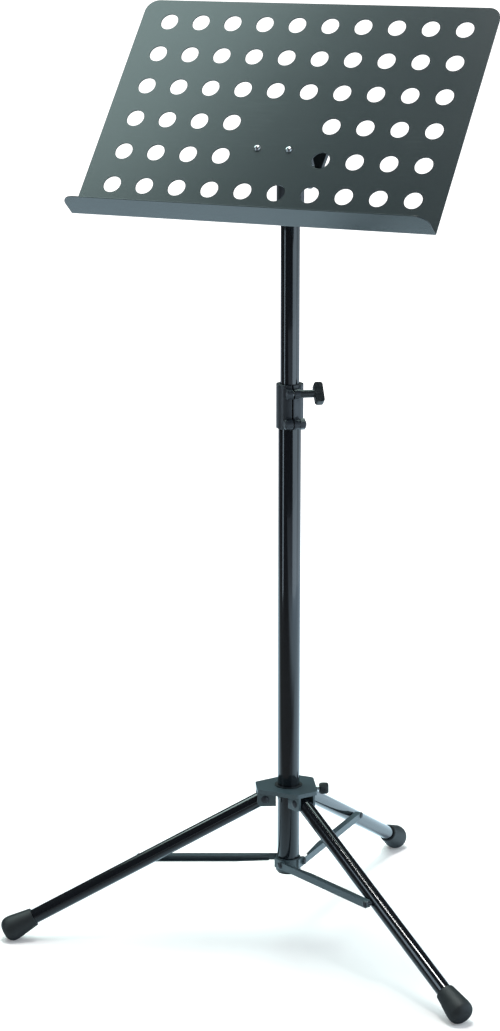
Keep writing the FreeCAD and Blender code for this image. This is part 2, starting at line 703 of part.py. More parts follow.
def make_lock_knob():
    """Screw that holds the hub on the lower tube, with its knob."""
    depth = "lock_knob_length * 2 / 3"
    screw = turned("lock_screw", (
        ("0", "lower_od / 2 + apart"),
        ("lock_screw / 2", "lower_od / 2 + apart"),
        ("lock_screw / 2", "lock_knob_start + " + depth),
        ("0", "lock_knob_start + " + depth),
    ))
    screw.Placement = radial_frame(lock_azimuth(), 0, SIZE["lock_level"])
    edge = "lock_knob_length / 8"
    knob = turned("lock_knob", (
        ("lock_screw / 2", "0"),
        ("lock_knob_od / 2 - " + edge, "0"),
        ("lock_knob_od / 2", edge),
        ("lock_knob_od / 2", "lock_knob_length - " + edge),
        ("lock_knob_od / 2 - " + edge, "lock_knob_length"),
        ("0", "lock_knob_length"),
        ("0", depth),
        ("lock_screw / 2", depth),
    ))
    knob.Placement = radial_frame(lock_azimuth(), SIZE["lock_knob_start"], SIZE["lock_level"])


def riveted(label, half, shank, head, dome):
    """Rivet with a low head at each end, its Z along the shank, centred on the piece it holds."""
    return turned(label, (
        ("0", "-(%s) - %s" % (half, dome)),
        ("%s / 4" % head, "-(%s) - %s" % (half, dome)),
        ("%s / 2" % head, "-(%s) - %s / 3" % (half, dome)),
        ("%s / 2" % head, "-(%s)" % half),
        ("%s / 2" % shank, "-(%s)" % half),
        ("%s / 2" % shank, half),
        ("%s / 2" % head, half),
        ("%s / 2" % head, "%s + %s / 3" % (half, dome)),
        ("%s / 4" % head, "%s + %s" % (half, dome)),
        ("0", "%s + %s" % (half, dome)),
    ))


def make_leg(side, azimuth, floor):
    """Leg tube with a rounded top end, and its rubber foot with a flat on the floor."""
    frame = leg_frame(azimuth)
    label = "leg_" + side
    half = SIZE["leg_od"] / 2
    tube_length = "leg_end - foot_bottom"
    rod_length = "leg_od / 2 + " + tube_length
    rod = solid("Cylinder", label + "_rod", Radius="leg_od / 2", Height=rod_length)
    rod.Placement = Placement(Vector(0, 0, -half), Rotation())
    bore = solid("Cylinder", label + "_bore", Radius="leg_od / 2 - leg_wall", Height=rod_length)
    bore.Placement = rod.Placement
    straight = solid("Box", label + "_straight", Length="leg_od", Width="leg_od", Height=tube_length)
    straight.Placement = Placement(Vector(-half, -half, 0), Rotation())
    round_end = solid("Cylinder", label + "_end", Radius="leg_od / 2", Height="leg_od")
    round_end.Placement = Placement(Vector(0, half, 0), about(X_AXIS, 90))
    drill = solid("Cylinder", label + "_drill", Radius="leg_rivet / 2 + running", Height="leg_od")
    drill.Placement = round_end.Placement
    tube = joined("Cut", label + "_tube", rod, bore)
    reach = joined("MultiFuse", label + "_reach", straight, round_end)
    ended = joined("MultiCommon", label + "_ended", tube, reach)
    leg = finish(label, joined("Cut", label, ended, drill))
    leg.Placement = frame
    foot = turned("foot_%s_rubber" % side, (
        ("leg_od / 2", "leg_end - foot_length"),
        ("foot_mouth / 2", "leg_end - foot_length"),
        ("foot_od / 2", "leg_end - 1.4 * foot_round"),
        ("foot_od / 2", "leg_end"),
        ("0", "leg_end"),
        ("0", tube_length),
        ("leg_od / 2", tube_length),
    ))
    end = SIZE["leg_end"]
    fillet(foot, "foot_round", lambda edge: edge.Closed and abs(edge.CenterOfMass.z - end) < 1e-3)
    foot.Placement = frame
    finish("foot_" + side, joined("Cut", "foot_" + side, foot, floor), foot)
    grip = "leg_od / 2 + apart + cheek_sheet"
    rivet = riveted("rivet_" + side, grip, "leg_rivet", "rivet_head", "rivet_dome")
    rivet.Placement = crossways(frame, 0)
    return rivet


def make_strut(side, azimuth):
    """Channel between the strut ring and a leg, open towards the leg, with its shouldered rivet."""
    frame = strut_frame(azimuth)
    outer = "ear_outer + apart + strut_sheet"
    web_face = "ear_outer + apart"
    inner = "leg_od / 2 + strut_side"
    body = new_body("strut_" + side)
    web = sketch_on(body, "XZ_Plane", web_face)
    draw_box(web, "0", "strut_length", "-strut_height / 2", "strut_height / 2")
    pad(body, web, "strut_sheet")
    for centre, radius in (("0", "strut_height / 2"), ("strut_length", "strut_height / 2")):
        end = sketch_on(body, "XZ_Plane", web_face)
        draw_circle(end, radius, centre, "0")
        pad(body, end, "strut_sheet")
    flanges = sketch_on(body, "XY_Plane")
    draw_polygon(flanges, (
        ("strut_start", "-(%s)" % outer),
        ("strut_length", "-(%s)" % outer),
        ("strut_length", "-(%s)" % inner),
        ("strut_taper", "-(%s)" % inner),
        ("strut_start", "-(lower_od / 2 + 2 * apart)"),
    ))
    pad(body, flanges, "strut_height", symmetric=True)
    hollow = sketch_on(body, "XZ_Plane", inner + " - apart")
    side_gap = "strut_height / 2 - strut_sheet"
    past_end = "strut_length + strut_height"
    draw_box(hollow, "strut_start - strut_sheet", past_end, "-(%s)" % side_gap, side_gap)
    pocket(body, hollow, "%s - (%s - apart)" % (web_face, inner), symmetric=False, reverse=True)
    for centre, radius in (("0", "strut_rivet / 2 + running"), ("strut_length", "strut_rivet / 2")):
        hole = sketch_on(body, "XZ_Plane", outer)
        draw_circle(hole, radius, centre, "0")
        pocket(body, hole, "2 * strut_sheet", symmetric=False)
    body.Placement = frame
    pin = turned("strut_pin_" + side, (
        ("0", "leg_od / 2 + apart"),
        ("strut_height / 2 - strut_sheet - apart", "leg_od / 2 + apart"),
        ("strut_height / 2 - strut_sheet - apart", web_face),
        ("strut_rivet / 2", web_face),
        ("strut_rivet / 2", outer),
        ("strut_rivet_head / 2", outer),
        ("strut_rivet_head / 2", outer + " + rivet_dome / 3"),
        ("strut_rivet_head / 4", outer + " + rivet_dome"),
        ("0", outer + " + rivet_dome"),
    ))
    pin.Placement = crossways(frame.multiply(Placement(Vector(SIZE["strut_length"], 0, 0), Rotation())), 0)
    rivet = turned("ring_rivet_" + side, (
        ("0", "ear_outer - ear_sheet"),
        ("strut_rivet / 2", "ear_outer - ear_sheet"),
        ("strut_rivet / 2", outer + " + apart"),
        ("strut_rivet_head / 2", outer + " + apart"),
        ("strut_rivet_head / 2", outer + " + apart + rivet_dome / 3"),
        ("strut_rivet_head / 4", outer + " + apart + rivet_dome"),
        ("0", outer + " + apart + rivet_dome"),
    ))
    rivet.Placement = crossways(frame, 0)
    return rivet


def make_strut_ring():
    """Ring on the lower tube's end, with an ear beside each leg's plane."""
    body = new_body("strut_ring")
    ring = sketch_on(body, "XY_Plane", "pole_bottom")
    draw_circle(ring, "ring_od / 2")
    draw_circle(ring, "lower_od / 2")
    pad(body, ring, "ring_height")
    back = "ear_outer - ear_sheet"
    level = "strut_pivot_level"
    ear = sketch_on(body, "XZ_Plane", back)
    draw_circle(ear, "ear_round", "strut_pivot_reach", level)
    parts = [pad(body, ear, "ear_sheet")]
    web = sketch_on(body, "XZ_Plane", back)
    draw_box(web, "-ear_round", "strut_pivot_reach", level + " - ear_round", level + " + ear_round")
    parts.append(pad(body, web, "ear_sheet"))
    hole = sketch_on(body, "XZ_Plane", "ear_outer")
    draw_circle(hole, "strut_rivet / 2", "strut_pivot_reach", level)
    parts.append(pocket(body, hole, "ear_sheet", symmetric=False))
    repeat_round(body, parts)
    place(body, turn=about(Z_AXIS, SIZE["leg_turn"]))


def make_tripod():
    make_hub()
    make_hub_liner()
    make_lock_knob()
    make_strut_ring()
    floor = solid("Box", "floor_cut", Length="4 * foot_circle", Width="4 * foot_circle", Height="foot_od")
    place(floor, -2 * SIZE["foot_circle"], -2 * SIZE["foot_circle"], -SIZE["foot_od"])
    azimuths = leg_azimuths()
    group("leg_rivets", [make_leg(side, azimuth, floor) for side, azimuth in azimuths])
    group("ring_rivets", [make_strut(side, azimuth) for side, azimuth in azimuths])


# Head

def make_head():
    """Socket on the upper tube with a cross barrel that carries the desk's tilt bolt."""
    body = new_body("desk_head")
    socket = sketch_on(body, "XY_Plane", "-head_drop")
    draw_circle(socket, "head_od / 2")
    pad(body, socket, "head_drop - upper_drop + head_roof")
    barrel = sketch_on(body, "YZ_Plane")
    draw_circle(barrel, "barrel_od / 2")
    pad(body, barrel, "2 * barrel_half", symmetric=True)
    bore = sketch_on(body, "XY_Plane", "-head_drop")
    draw_circle(bore, "upper_od / 2")
    pocket(body, bore, "head_drop - upper_drop", symmetric=False, reverse=True)
    axle = sketch_on(body, "YZ_Plane")
    draw_circle(axle, "tilt_bolt / 2 + running")
    pocket(body, axle, "3 * barrel_half")
    drill = sketch_on(body, "XZ_Plane", "-head_od")
    draw_circle(drill, "head_screw / 2", "0", "-head_screw_drop")
    pocket(body, drill, "head_od - upper_od / 2", symmetric=False, reverse=True)
    place(body, z=SIZE["tilt_level"])
    wall = "(head_od - upper_od) / 2"
    screw = turned("head_screw", (
        ("0", "0"),
        ("head_screw / 2", "0"),
        ("head_screw / 2", wall),
        ("head_screw_cap / 2", wall),
        ("head_screw_cap / 2", wall + " + head_screw_cap_height * 3 / 4"),
        ("head_screw_cap / 2 - 1", wall + " + head_screw_cap_height"),
        ("0", wall + " + head_screw_cap_height"),
    ))
    screw.Placement = radial_frame(90, SIZE["upper_od"] / 2, number("tilt_level - head_screw_drop"))


def washer(label, bore, rim, low, high):
    """Flat ring on the tilt axis between two places along it."""
    piece = turned(label, ((bore, low), (rim, low), (rim, high), (bore, high)))
    piece.Placement = desk_frame().multiply(Placement(Vector(), about(Y_AXIS, 90)))
    return piece


def make_tilt_parts():
    """Bolt, washers and winged knob that clamp the bracket on the head's barrel."""
    outside = "bracket_half + washer_sheet"
    bolt = turned("tilt_bolt", (
        ("0", "-bracket_half - tilt_bolt_dome"),
        ("tilt_bolt_head / 4", "-bracket_half - tilt_bolt_dome"),
        ("tilt_bolt_head / 2", "-bracket_half - tilt_bolt_dome / 3"),
        ("tilt_bolt_head / 2", "-bracket_half"),
        ("tilt_bolt / 2", "-bracket_half"),
        ("tilt_bolt / 2", outside + " + tilt_bolt_tail"),
        ("0", outside + " + tilt_bolt_tail"),
    ))
    axis = desk_frame().multiply(Placement(Vector(), about(Y_AXIS, 90)))
    bolt.Placement = axis
    rim = "barrel_od / 2 - washer_sheet"
    near_face = "barrel_half + apart"
    far_face = "bracket_half - bracket_sheet"
    group("tilt_washers", [
        washer("tilt_washer_right", "tilt_bolt / 2", rim, near_face, far_face),
        washer("tilt_washer_left", "tilt_bolt / 2", rim, "-(%s)" % far_face, "-(%s)" % near_face),
    ])
    washer("knob_washer", "tilt_bolt / 2", "washer_od / 2", "bracket_half", outside)
    knob = make_wing_knob()
    seat = Placement(Vector(0, 0, number(outside + " + apart")), about(Z_AXIS, TILT_KNOB_TURN))
    knob.Placement = axis.multiply(seat)


def make_wing_knob():
    """Knob with one wing that flares outwards and a short heel; its Z points away from the bracket."""
    body = new_body("tilt_knob")
    root = sketch_on(body, "XY_Plane")
    draw_circle(root, "tilt_hub / 2")
    pad(body, root, "tilt_hub_length")
    wings = sketch_on(body, "XZ_Plane")
    low = "tilt_hub_length / 3"
    rise = "tilt_hub_length + tilt_flare"
    draw_polygon(wings, (
        ("-tilt_heel", low),
        ("tilt_hub / 2", low),
        ("tilt_reach", rise + " - tilt_wing"),
        ("tilt_reach", rise),
        ("tilt_hub / 2", "tilt_hub_length"),
        ("-tilt_heel", "tilt_hub_length"),
    ))
    pad(body, wings, "tilt_thick", symmetric=True)
    ends = (SIZE["tilt_reach"], -SIZE["tilt_heel"])
    fillet(body, "tilt_thick / 3", lambda edge: along(edge, Y_AXIS)
           and any(abs(edge.CenterOfMass.x - end) < 1e-3 for end in ends))
    bore = sketch_on(body, "XY_Plane")
    draw_circle(bore, "tilt_bolt / 2 + running")
    pocket(body, bore, "tilt_bolt_tail", symmetric=False, reverse=True)
    return body


# Desk

def make_bracket():
    """Bent bracket on the desk's back whose two cheeks reach to the tilt axis."""
    body = new_body("desk_bracket")
    back = "desk_reach - desk_sheet"
    web = sketch_on(body, "XZ_Plane", back + " - bracket_sheet")
    draw_box(web, "-bracket_half", "bracket_half", "-bracket_below", "bracket_above")
    pad(body, web, "bracket_sheet")
    for face in ("bracket_half - bracket_sheet", "-bracket_half"):
        cheek = sketch_on(body, "YZ_Plane", face)
        draw_polygon(cheek, (
            ("-(%s)" % back, "-bracket_below"),
            ("0", "-bracket_round"),
            ("0", "bracket_round"),
            ("-(%s)" % back, "bracket_above"),
        ))
        pad(body, cheek, "bracket_sheet")
        end = sketch_on(body, "YZ_Plane", face)
        draw_circle(end, "bracket_round")
        pad(body, end, "bracket_sheet")
    half = SIZE["bracket_half"]
    fillet(body, "1.5 * bracket_sheet", lambda edge: along(edge, Z_AXIS) and near(edge, y=-number(back))
           and abs(abs(edge.CenterOfMass.x) - half) < 1e-3)
    axle = sketch_on(body, "YZ_Plane")
    draw_circle(axle, "tilt_bolt / 2")
    pocket(body, axle, "3 * bracket_half")
    holes = sketch_on(body, "XZ_Plane", "desk_reach")
    for side in ("-screw_half", "screw_half"):
        draw_circle(holes, "desk_screw / 2", side, "-screw_below")
    pocket(body, holes, "desk_sheet + 2 * bracket_sheet", symmetric=False)
    body.Placement = desk_frame()


def make_desk():
    """Perforated sheet bent forwards at its foot into the ledge."""
    body = new_body("desk_plate")
    half = "desk_width / 2"
    top = "desk_height - desk_below"
    sheet = sketch_on(body, "XZ_Plane", "desk_reach - desk_sheet")
    draw_box(sheet, "-" + half, half, "-desk_below", top)
    pad(body, sheet, "desk_sheet")
    ledge = sketch_on(body, "XY_Plane", "-desk_below")
    draw_box(ledge, "-" + half, half, "-desk_reach - ledge_depth", "-desk_reach + desk_sheet")
    pad(body, ledge, "desk_sheet")
    heel = number("-desk_reach + desk_sheet")
    foot = number("-desk_below")
    fillet(body, "desk_bend", lambda edge: along(edge, X_AXIS) and near(edge, y=heel, z=foot))
    inside_y = number("-desk_reach")
    inside_z = number("-desk_below + desk_sheet")
    fillet(body, "desk_bend - desk_sheet", lambda edge: along(edge, X_AXIS)
           and near(edge, y=inside_y, z=inside_z))
    crest = number(top)
    front = number("-desk_reach - ledge_depth")
    fillet(body, "desk_corner", lambda edge: (along(edge, Y_AXIS) and near(edge, z=crest))
           or (along(edge, Z_AXIS) and near(edge, y=front)))
    holes = sketch_on(body, "XZ_Plane", "desk_reach")
    for row in range(HOLE_ROWS):
        for column in range(HOLE_COLUMNS):
            if row in SOLID_ROWS and column in SOLID_COLUMNS:
                continue
            across = "hole_across * %g" % (column - (HOLE_COLUMNS - 1) / 2)
            draw_circle(holes, "hole_od / 2", across, "hole_low - desk_below + hole_up * %d" % row)
    for side in ("-screw_half", "screw_half"):
        draw_circle(holes, "desk_screw / 2", side, "-screw_below")
    pocket(body, holes, "4 * desk_sheet")
    body.Placement = desk_frame()


def make_desk_fasteners():
    """Two screws through desk and bracket, each with a nut on the bracket's inside."""
    grip = "desk_sheet + bracket_sheet"
    screws = []
    nuts = []
    for side, across in (("left", -SIZE["screw_half"]), ("right", SIZE["screw_half"])):
        seat = Placement(Vector(across, -SIZE["desk_reach"], -SIZE["screw_below"]), about(X_AXIS, 90))
        frame = desk_frame().multiply(seat)
        screw = turned("desk_screw_" + side, (
            ("0", "-(%s) - desk_nut - desk_sheet" % grip),
            ("desk_screw / 2", "-(%s) - desk_nut - desk_sheet" % grip),
            ("desk_screw / 2", "0"),
            ("desk_screw_head / 2", "0"),
            ("desk_screw_head / 2", "desk_screw_dome / 3"),
            ("desk_screw_head / 4", "desk_screw_dome"),
            ("0", "desk_screw_dome"),
        ))
        screw.Placement = frame
        screws.append(screw)
        nut = hexagon_nut("desk_nut_" + side, "desk_nut_flats", "desk_nut", "desk_screw / 2")
        nut.Placement = frame.multiply(Placement(Vector(0, 0, -number(grip + " + desk_nut")), Rotation()))
        nuts.append(nut)
    group("desk_screws", screws)
    group("desk_nuts", nuts)


# Checks and files

def check_model():
    """Stops if any object failed or any sub-part has no valid shape."""
    doc.recompute()
    for piece in doc.Objects:
        if "Invalid" in piece.State or "Error" in piece.State:
            raise RuntimeError("%s did not compute" % piece.Label)
    for label, piece in nodes.items():
        if piece.Shape.isNull() or not piece.Shape.isValid() or not piece.Shape.Solids:
            raise RuntimeError("%s has no valid solid" % label)


def write_parts():
    os.makedirs("parts", exist_ok=True)
    for label, piece in nodes.items():
        piece.Shape.exportStep("parts/%s.step" % label)


make_pole()
make_collar()
make_pinch_bolt()
make_clamp_knob()
make_tripod()
make_head()
make_tilt_parts()
make_bracket()
make_desk()
make_desk_fasteners()
check_model()
write_parts()
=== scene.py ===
import json
import math

import bmesh
import bpy
from bpy.props import FloatProperty, FloatVectorProperty, IntProperty, PointerProperty
from mathutils import Matrix, Vector

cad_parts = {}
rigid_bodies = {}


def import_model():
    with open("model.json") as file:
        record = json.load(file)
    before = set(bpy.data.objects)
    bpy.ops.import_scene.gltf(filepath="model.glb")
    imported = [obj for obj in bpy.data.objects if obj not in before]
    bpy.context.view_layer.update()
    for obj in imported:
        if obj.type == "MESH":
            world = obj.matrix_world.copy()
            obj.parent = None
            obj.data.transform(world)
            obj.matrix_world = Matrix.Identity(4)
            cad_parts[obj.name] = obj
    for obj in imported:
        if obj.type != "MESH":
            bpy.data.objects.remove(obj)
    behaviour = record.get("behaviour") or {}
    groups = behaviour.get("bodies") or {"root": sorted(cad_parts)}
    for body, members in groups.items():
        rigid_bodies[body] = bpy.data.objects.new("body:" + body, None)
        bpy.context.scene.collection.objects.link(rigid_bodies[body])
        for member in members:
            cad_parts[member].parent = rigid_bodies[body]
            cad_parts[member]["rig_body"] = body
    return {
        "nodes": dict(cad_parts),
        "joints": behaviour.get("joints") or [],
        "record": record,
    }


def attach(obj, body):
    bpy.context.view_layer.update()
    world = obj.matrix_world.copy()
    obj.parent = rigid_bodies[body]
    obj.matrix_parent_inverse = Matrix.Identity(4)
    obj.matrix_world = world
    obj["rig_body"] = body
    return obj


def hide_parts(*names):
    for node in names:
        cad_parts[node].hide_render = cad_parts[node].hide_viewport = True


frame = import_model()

bl_info = {
    "name": "Music Stand",
    "version": (1, 0, 0),
    "blender": (4, 5, 0),
    "location": "View3D > Sidebar > Music Stand",
    "description": "Finishes and fine pieces of a folding music stand with a perforated desk",
    "category": "Object",
}

JOINTS = {joint["name"]: joint for joint in frame["joints"]}
MOUNTS = {mount["name"]: mount for mount in frame["record"]["mounts"]}
SIDES = ("right", "rear", "left")

# Angles at which a surface counts as smooth, as an edge to round, and as flat
SMOOTH_BELOW = math.radians(38)
ROUND_ABOVE = math.radians(34)
FLAT_BELOW = math.radians(0.5)

# Sizes in metres. Those of the CAD shapes that the frame doesn't name come first
TUBE_WALLS = {"lower_tube": 0.0015, "upper_tube": 0.00125}
DESK_SHEET = 0.0015
DESK_BEND = 0.003
DESK_CORNER = 0.0182
SCREW_SHANK = 0.0025
SCREW_HEAD = 0.0045
SCREW_CROWN = 0.003
LEG_RIVET_SHANK = 0.003
LEG_RIVET_HEAD = 0.0055
RING_RIVET_SHANK = 0.0025
RING_RIVET_HEAD = 0.0045
PIN_SPACER = 0.0029
PIN_STEP = 0.0015
RIVET_CROWN = 0.0022
RIVET_REACH = 0.008
KNOB_SOFT = 0.0012
KNOB_DISH = 0.0005
FOOT_EDGE = 0.0008
SAME_POINT = 2e-6
SAME_LEVEL = 1e-6

# Each finish: its material, its colour, and the grain and rub marks on it
FINISHES = {
    "gloss_black": dict(
        name="gloss powder coat", tone="gloss", scale=700.0, tint=0.005, rough=0.14, spread=0.03,
        rub=0.05, coat=0.6, coat_rough=0.04, bump=0.02, depth=0.00002,
    ),
    "satin_black": dict(
        name="satin powder coat", tone="satin", scale=1500.0, tint=0.03, rough=0.34, spread=0.06,
        rub=0.12, bump=0.35, depth=0.00003,
    ),
    "desk_grey": dict(
        name="desk powder coat", tone="desk", scale=1900.0, tint=0.010, rough=0.25, spread=0.04,
        rub=0.06, bump=0.30, depth=0.00003, stretch=(30.0, 260.0, 260.0),
    ),
    "hub_grey": dict(
        name="hub powder coat", tone="hub", scale=1500.0, tint=0.03, rough=0.30, spread=0.05,
        rub=0.15, bump=0.30, depth=0.00003,
    ),
    "zinc": dict(
        name="zinc plate", tone="zinc", scale=2600.0, tint=0.10, rough=0.30, spread=0.10,
        rub=0.3, bump=0.2, depth=0.00002, metal=1.0,
    ),
    "plastic": dict(
        name="moulded plastic", tone="plastic", scale=2400.0, tint=0.012, rough=0.42, spread=0.06,
        rub=0.08, bump=0.5, depth=0.00004,
    ),
    "foot_rubber": dict(
        name="foot rubber", tone="rubber", scale=1700.0, tint=0.015, rough=0.55, spread=0.08,
        rub=0.15, bump=0.6, depth=0.00006, stretch=(90.0, 90.0, 90.0),
    ),
}

WHITE = (1.0, 1.0, 1.0, 1.0)
BLUE_LIGHT = (0.68, 0.86, 1.0)
FLOOR_HALF = 40.0
FLOOR_LEVEL = -0.0002
# Share of the floor's colour left in its painted reflection in front of the stand: painted shade
FLOOR_PAINTED_SHADE = 0.12


# Settings

def colour(name, description, default):
    return FloatVectorProperty(
        name=name, description=description, default=default, size=3, min=0.0, max=1.0, subtype="COLOR"
    )


def distance(name, description, default):
    return FloatProperty(name=name, description=description, default=default, min=0.0, unit="LENGTH")


def share(name, description, default):
    return FloatProperty(
        name=name, description=description, default=default, min=0.0, max=1.0, subtype="FACTOR"
    )


def power(name, description, default):
    return FloatProperty(name=name, description=description, default=default, unit="POWER")


class StandColours(bpy.types.PropertyGroup):
    """Colours of the stand's finishes."""
    gloss: colour("Gloss coat", "Powder coat on the pole and the legs", (0.002, 0.003, 0.005))
    satin: colour("Satin coat", "Powder coat on the collar and the head", (0.010, 0.014, 0.020))
    desk: colour("Desk coat", "Powder coat on the desk and its bracket", (0.016, 0.024, 0.026))
    hub: colour("Hub coat", "Powder coat on the hub, the ring and the struts", (0.040, 0.064, 0.074))
    plastic: colour("Plastic", "Moulded knobs, bushes and plugs", (0.005, 0.008, 0.010))
    rubber: colour("Rubber", "Feet", (0.005, 0.008, 0.009))
    zinc: colour("Zinc", "Screws, nuts, rivets and washers", (0.62, 0.63, 0.64))


class StandSizes(bpy.types.PropertyGroup):
    """Fine sizes that the looks add to the stand."""
    sheet_edge: distance("Sheet edge", "Rounding of cut sheet edges", 0.0003)
    cast_edge: distance("Cast edge", "Rounding of the collar's and the head's edges", 0.0006)
    moulded_edge: distance("Moulded edge", "Rounding of the plastic knobs", 0.0016)
    hole: distance("Desk hole", "Diameter of the desk's round holes", 0.0242)
    hole_rim: distance("Hole rim", "Chamfer round each hole", 0.00025)
    hole_across: distance("Spacing across", "Distance between holes across the desk", 0.046733)
    hole_up: distance("Spacing up", "Distance between holes up the desk", 0.05158)
    hole_low: distance("Lowest holes", "Lowest hole centres above the ledge's underside", 0.0481)
    knob_ribs: IntProperty(
        name="Knob ribs", description="Grip ribs round the lock knob", default=22, min=3, max=90
    )
    rib_depth: distance("Rib depth", "Height of the lock knob's ribs", 0.0007)


class StandStage(bpy.types.PropertyGroup):
    """Light and floor."""
    floor: colour("Floor", "Colour of the pale floor", (0.94, 0.90, 0.88))
    glow: share("Glow", "Own brightness of the floor near the stand", 0.08)
    surround: share("Surround", "Brightness of the even light from all round", 0.45)
    reflected: share("Reflected surround", "Brightness of the even light in shiny surfaces", 0.05)
    overhead: power("Overhead", "Power of the light straight above", 78.0)
    sweep: power("Sweep", "Power of the large light over the desk", 46.0)
    panel: power("Panels", "Power of the wide light beside the pole; the one behind it has half", 42.0)
    strip: power("Strip", "Power of the narrow light on the left", 13.0)


# Nodes

def new_socket(tree, name, kind, out=False, default=None):
    side = "OUTPUT" if out else "INPUT"
    socket = tree.interface.new_socket(name, in_out=side, socket_type="NodeSocket" + kind)
    if default is not None:
        socket.default_value = default
    return socket


def add(tree, kind, **settings):
    node = tree.nodes.new(kind)
    for name, value in settings.items():
        setattr(node, name, value)
    return node


def plug(tree, socket, value):
    """Links a socket to an input, or makes any other value the input's own."""
    if isinstance(value, bpy.types.NodeSocket):
        tree.links.new(value, socket)
    else:
        socket.default_value = value


def feed(tree, node, **values):
    """Sets a node's inputs by name."""
    for name, value in values.items():
        plug(tree, node.inputs[name.replace("_", " ")], value)
    return node


def sums(tree, operation, first, second=0.0):
    """Result of one step of arithmetic."""
    node = add(tree, "ShaderNodeMath", operation=operation)
    for index, value in enumerate((first, second)):
        plug(tree, node.inputs[index], value)
    return node.outputs[0]


def mixed(tree, factor, first, second):
    """Mixes two colours, which have their own sockets further down the node."""
    node = add(tree, "ShaderNodeMix", data_type="RGBA")
    for index, value in ((0, factor), (6, first), (7, second)):
        plug(tree, node.inputs[index], value)
    return node.outputs[2]


def noise(tree, vector, scale, detail, roughness):
    node = add(tree, "ShaderNodeTexNoise")
    feed(tree, node, Vector=vector, Scale=scale, Detail=detail, Roughness=roughness)
    return node.outputs["Fac"]


def grain_group():
    """Even fine grain: tints a colour, varies the roughness and gives a height."""
    if "fine grain" in bpy.data.node_groups:
        return bpy.data.node_groups["fine grain"]
    tree = bpy.data.node_groups.new("fine grain", "ShaderNodeTree")
    new_socket(tree, "Vector", "Vector")
    new_socket(tree, "Colour", "Color", default=(0.1, 0.1, 0.1, 1))
    new_socket(tree, "Scale", "Float", default=900.0)
    new_socket(tree, "Tint", "Float", default=0.1)
    new_socket(tree, "Roughness", "Float", default=0.4)
    new_socket(tree, "Spread", "Float", default=0.05)
    new_socket(tree, "Colour", "Color", out=True)
    new_socket(tree, "Roughness", "Float", out=True)
    new_socket(tree, "Height", "Float", out=True)
    given = add(tree, "NodeGroupInput").outputs
    fine = noise(tree, given["Vector"], given["Scale"], 3.0, 0.6)
    broad = noise(tree, given["Vector"], 9.0, 2.0, 0.5)
    lighter = mixed(tree, given["Tint"], given["Colour"], (0.6, 0.64, 0.66, 1))
    darker = mixed(tree, given["Tint"], given["Colour"], (0.0, 0.0, 0.0, 1))
    tinted = mixed(tree, fine, darker, lighter)
    swing = sums(tree, "SUBTRACT", sums(tree, "ADD", fine, broad), 1.0)
    rough = sums(tree, "ADD", given["Roughness"], sums(tree, "MULTIPLY", swing, given["Spread"]))
    feed(tree, add(tree, "NodeGroupOutput"), Colour=tinted, Roughness=rough, Height=fine)
    return tree


def rub_group():
    """Long faint rub marks and dust: a mask that is mostly empty."""
    if "rub marks" in bpy.data.node_groups:
        return bpy.data.node_groups["rub marks"]
    tree = bpy.data.node_groups.new("rub marks", "ShaderNodeTree")
    new_socket(tree, "Vector", "Vector")
    new_socket(tree, "Stretch", "Vector", default=(400.0, 400.0, 12.0))
    new_socket(tree, "Amount", "Float", default=0.2)
    new_socket(tree, "Mask", "Float", out=True)
    given = add(tree, "NodeGroupInput").outputs
    stretched = add(tree, "ShaderNodeVectorMath", operation="MULTIPLY")
    tree.links.new(given["Vector"], stretched.inputs[0])
    tree.links.new(given["Stretch"], stretched.inputs[1])
    lines = noise(tree, stretched.outputs[0], 1.0, 4.0, 0.65)
    patches = noise(tree, given["Vector"], 14.0, 3.0, 0.6)
    edge = add(tree, "ShaderNodeMapRange")
    feed(tree, edge, Value=sums(tree, "MULTIPLY", lines, patches), From_Min=0.30, From_Max=0.46)
    mask = sums(tree, "MULTIPLY", edge.outputs[0], given["Amount"])
    feed(tree, add(tree, "NodeGroupOutput"), Mask=mask)
    return tree


def finish_material(name, tone, scale, tint, rough, spread, rub, bump, depth, metal=0.0, coat=0.0,
                    coat_rough=0.03, stretch=(400.0, 400.0, 12.0)):
    """Material of one finish, from its colour, its grain and its rub marks."""
    if name in bpy.data.materials:
        return bpy.data.materials[name]
    material = bpy.data.materials.new(name)
    material.use_nodes = True
    tree = material.node_tree
    shader = tree.nodes["Principled BSDF"]
    place = add(tree, "ShaderNodeTexCoord").outputs["Object"]
    fine = add(tree, "ShaderNodeGroup", node_tree=grain_group())
    feed(tree, fine, Vector=place, Colour=(*tone, 1.0), Scale=scale, Tint=tint, Roughness=rough,
         Spread=spread)
    marks = add(tree, "ShaderNodeGroup", node_tree=rub_group())
    feed(tree, marks, Vector=place, Stretch=stretch, Amount=rub)
    pale = tuple(min(1.0, channel * 2.2 + 0.03) for channel in tone)
    base = mixed(tree, marks.outputs["Mask"], fine.outputs["Colour"], (*pale, 1.0))
    worn = sums(tree, "MULTIPLY", marks.outputs["Mask"], 0.25)
    rougher = sums(tree, "ADD", fine.outputs["Roughness"], worn)
    relief = add(tree, "ShaderNodeBump")
    feed(tree, relief, Strength=bump, Distance=depth, Height=fine.outputs["Height"])
    feed(tree, shader, Base_Color=base, Roughness=rougher, Normal=relief.outputs["Normal"])
    feed(tree, shader, Metallic=metal, Coat_Weight=coat, Coat_Roughness=coat_rough)
    return material


def finishes(slot):
    """One of the stand's finishes by its record slot, made once."""
    settings = dict(FINISHES[slot])
    tone = getattr(bpy.context.scene.stand_colours, settings.pop("tone"))
    return finish_material(tone=tone, **settings)


# Meshes

def keep_piece(obj, body, slot, *nodes):
    """Gives a finished piece its body and hides the CAD nodes that it stands for; its record slot is not
    used.
    """
    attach(obj, body)
    if nodes:
        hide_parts(*nodes)
    return obj


def placed(name, data):
    """New object in the scene."""
    obj = bpy.data.objects.new(name, data)
    bpy.context.scene.collection.objects.link(obj)
    return obj


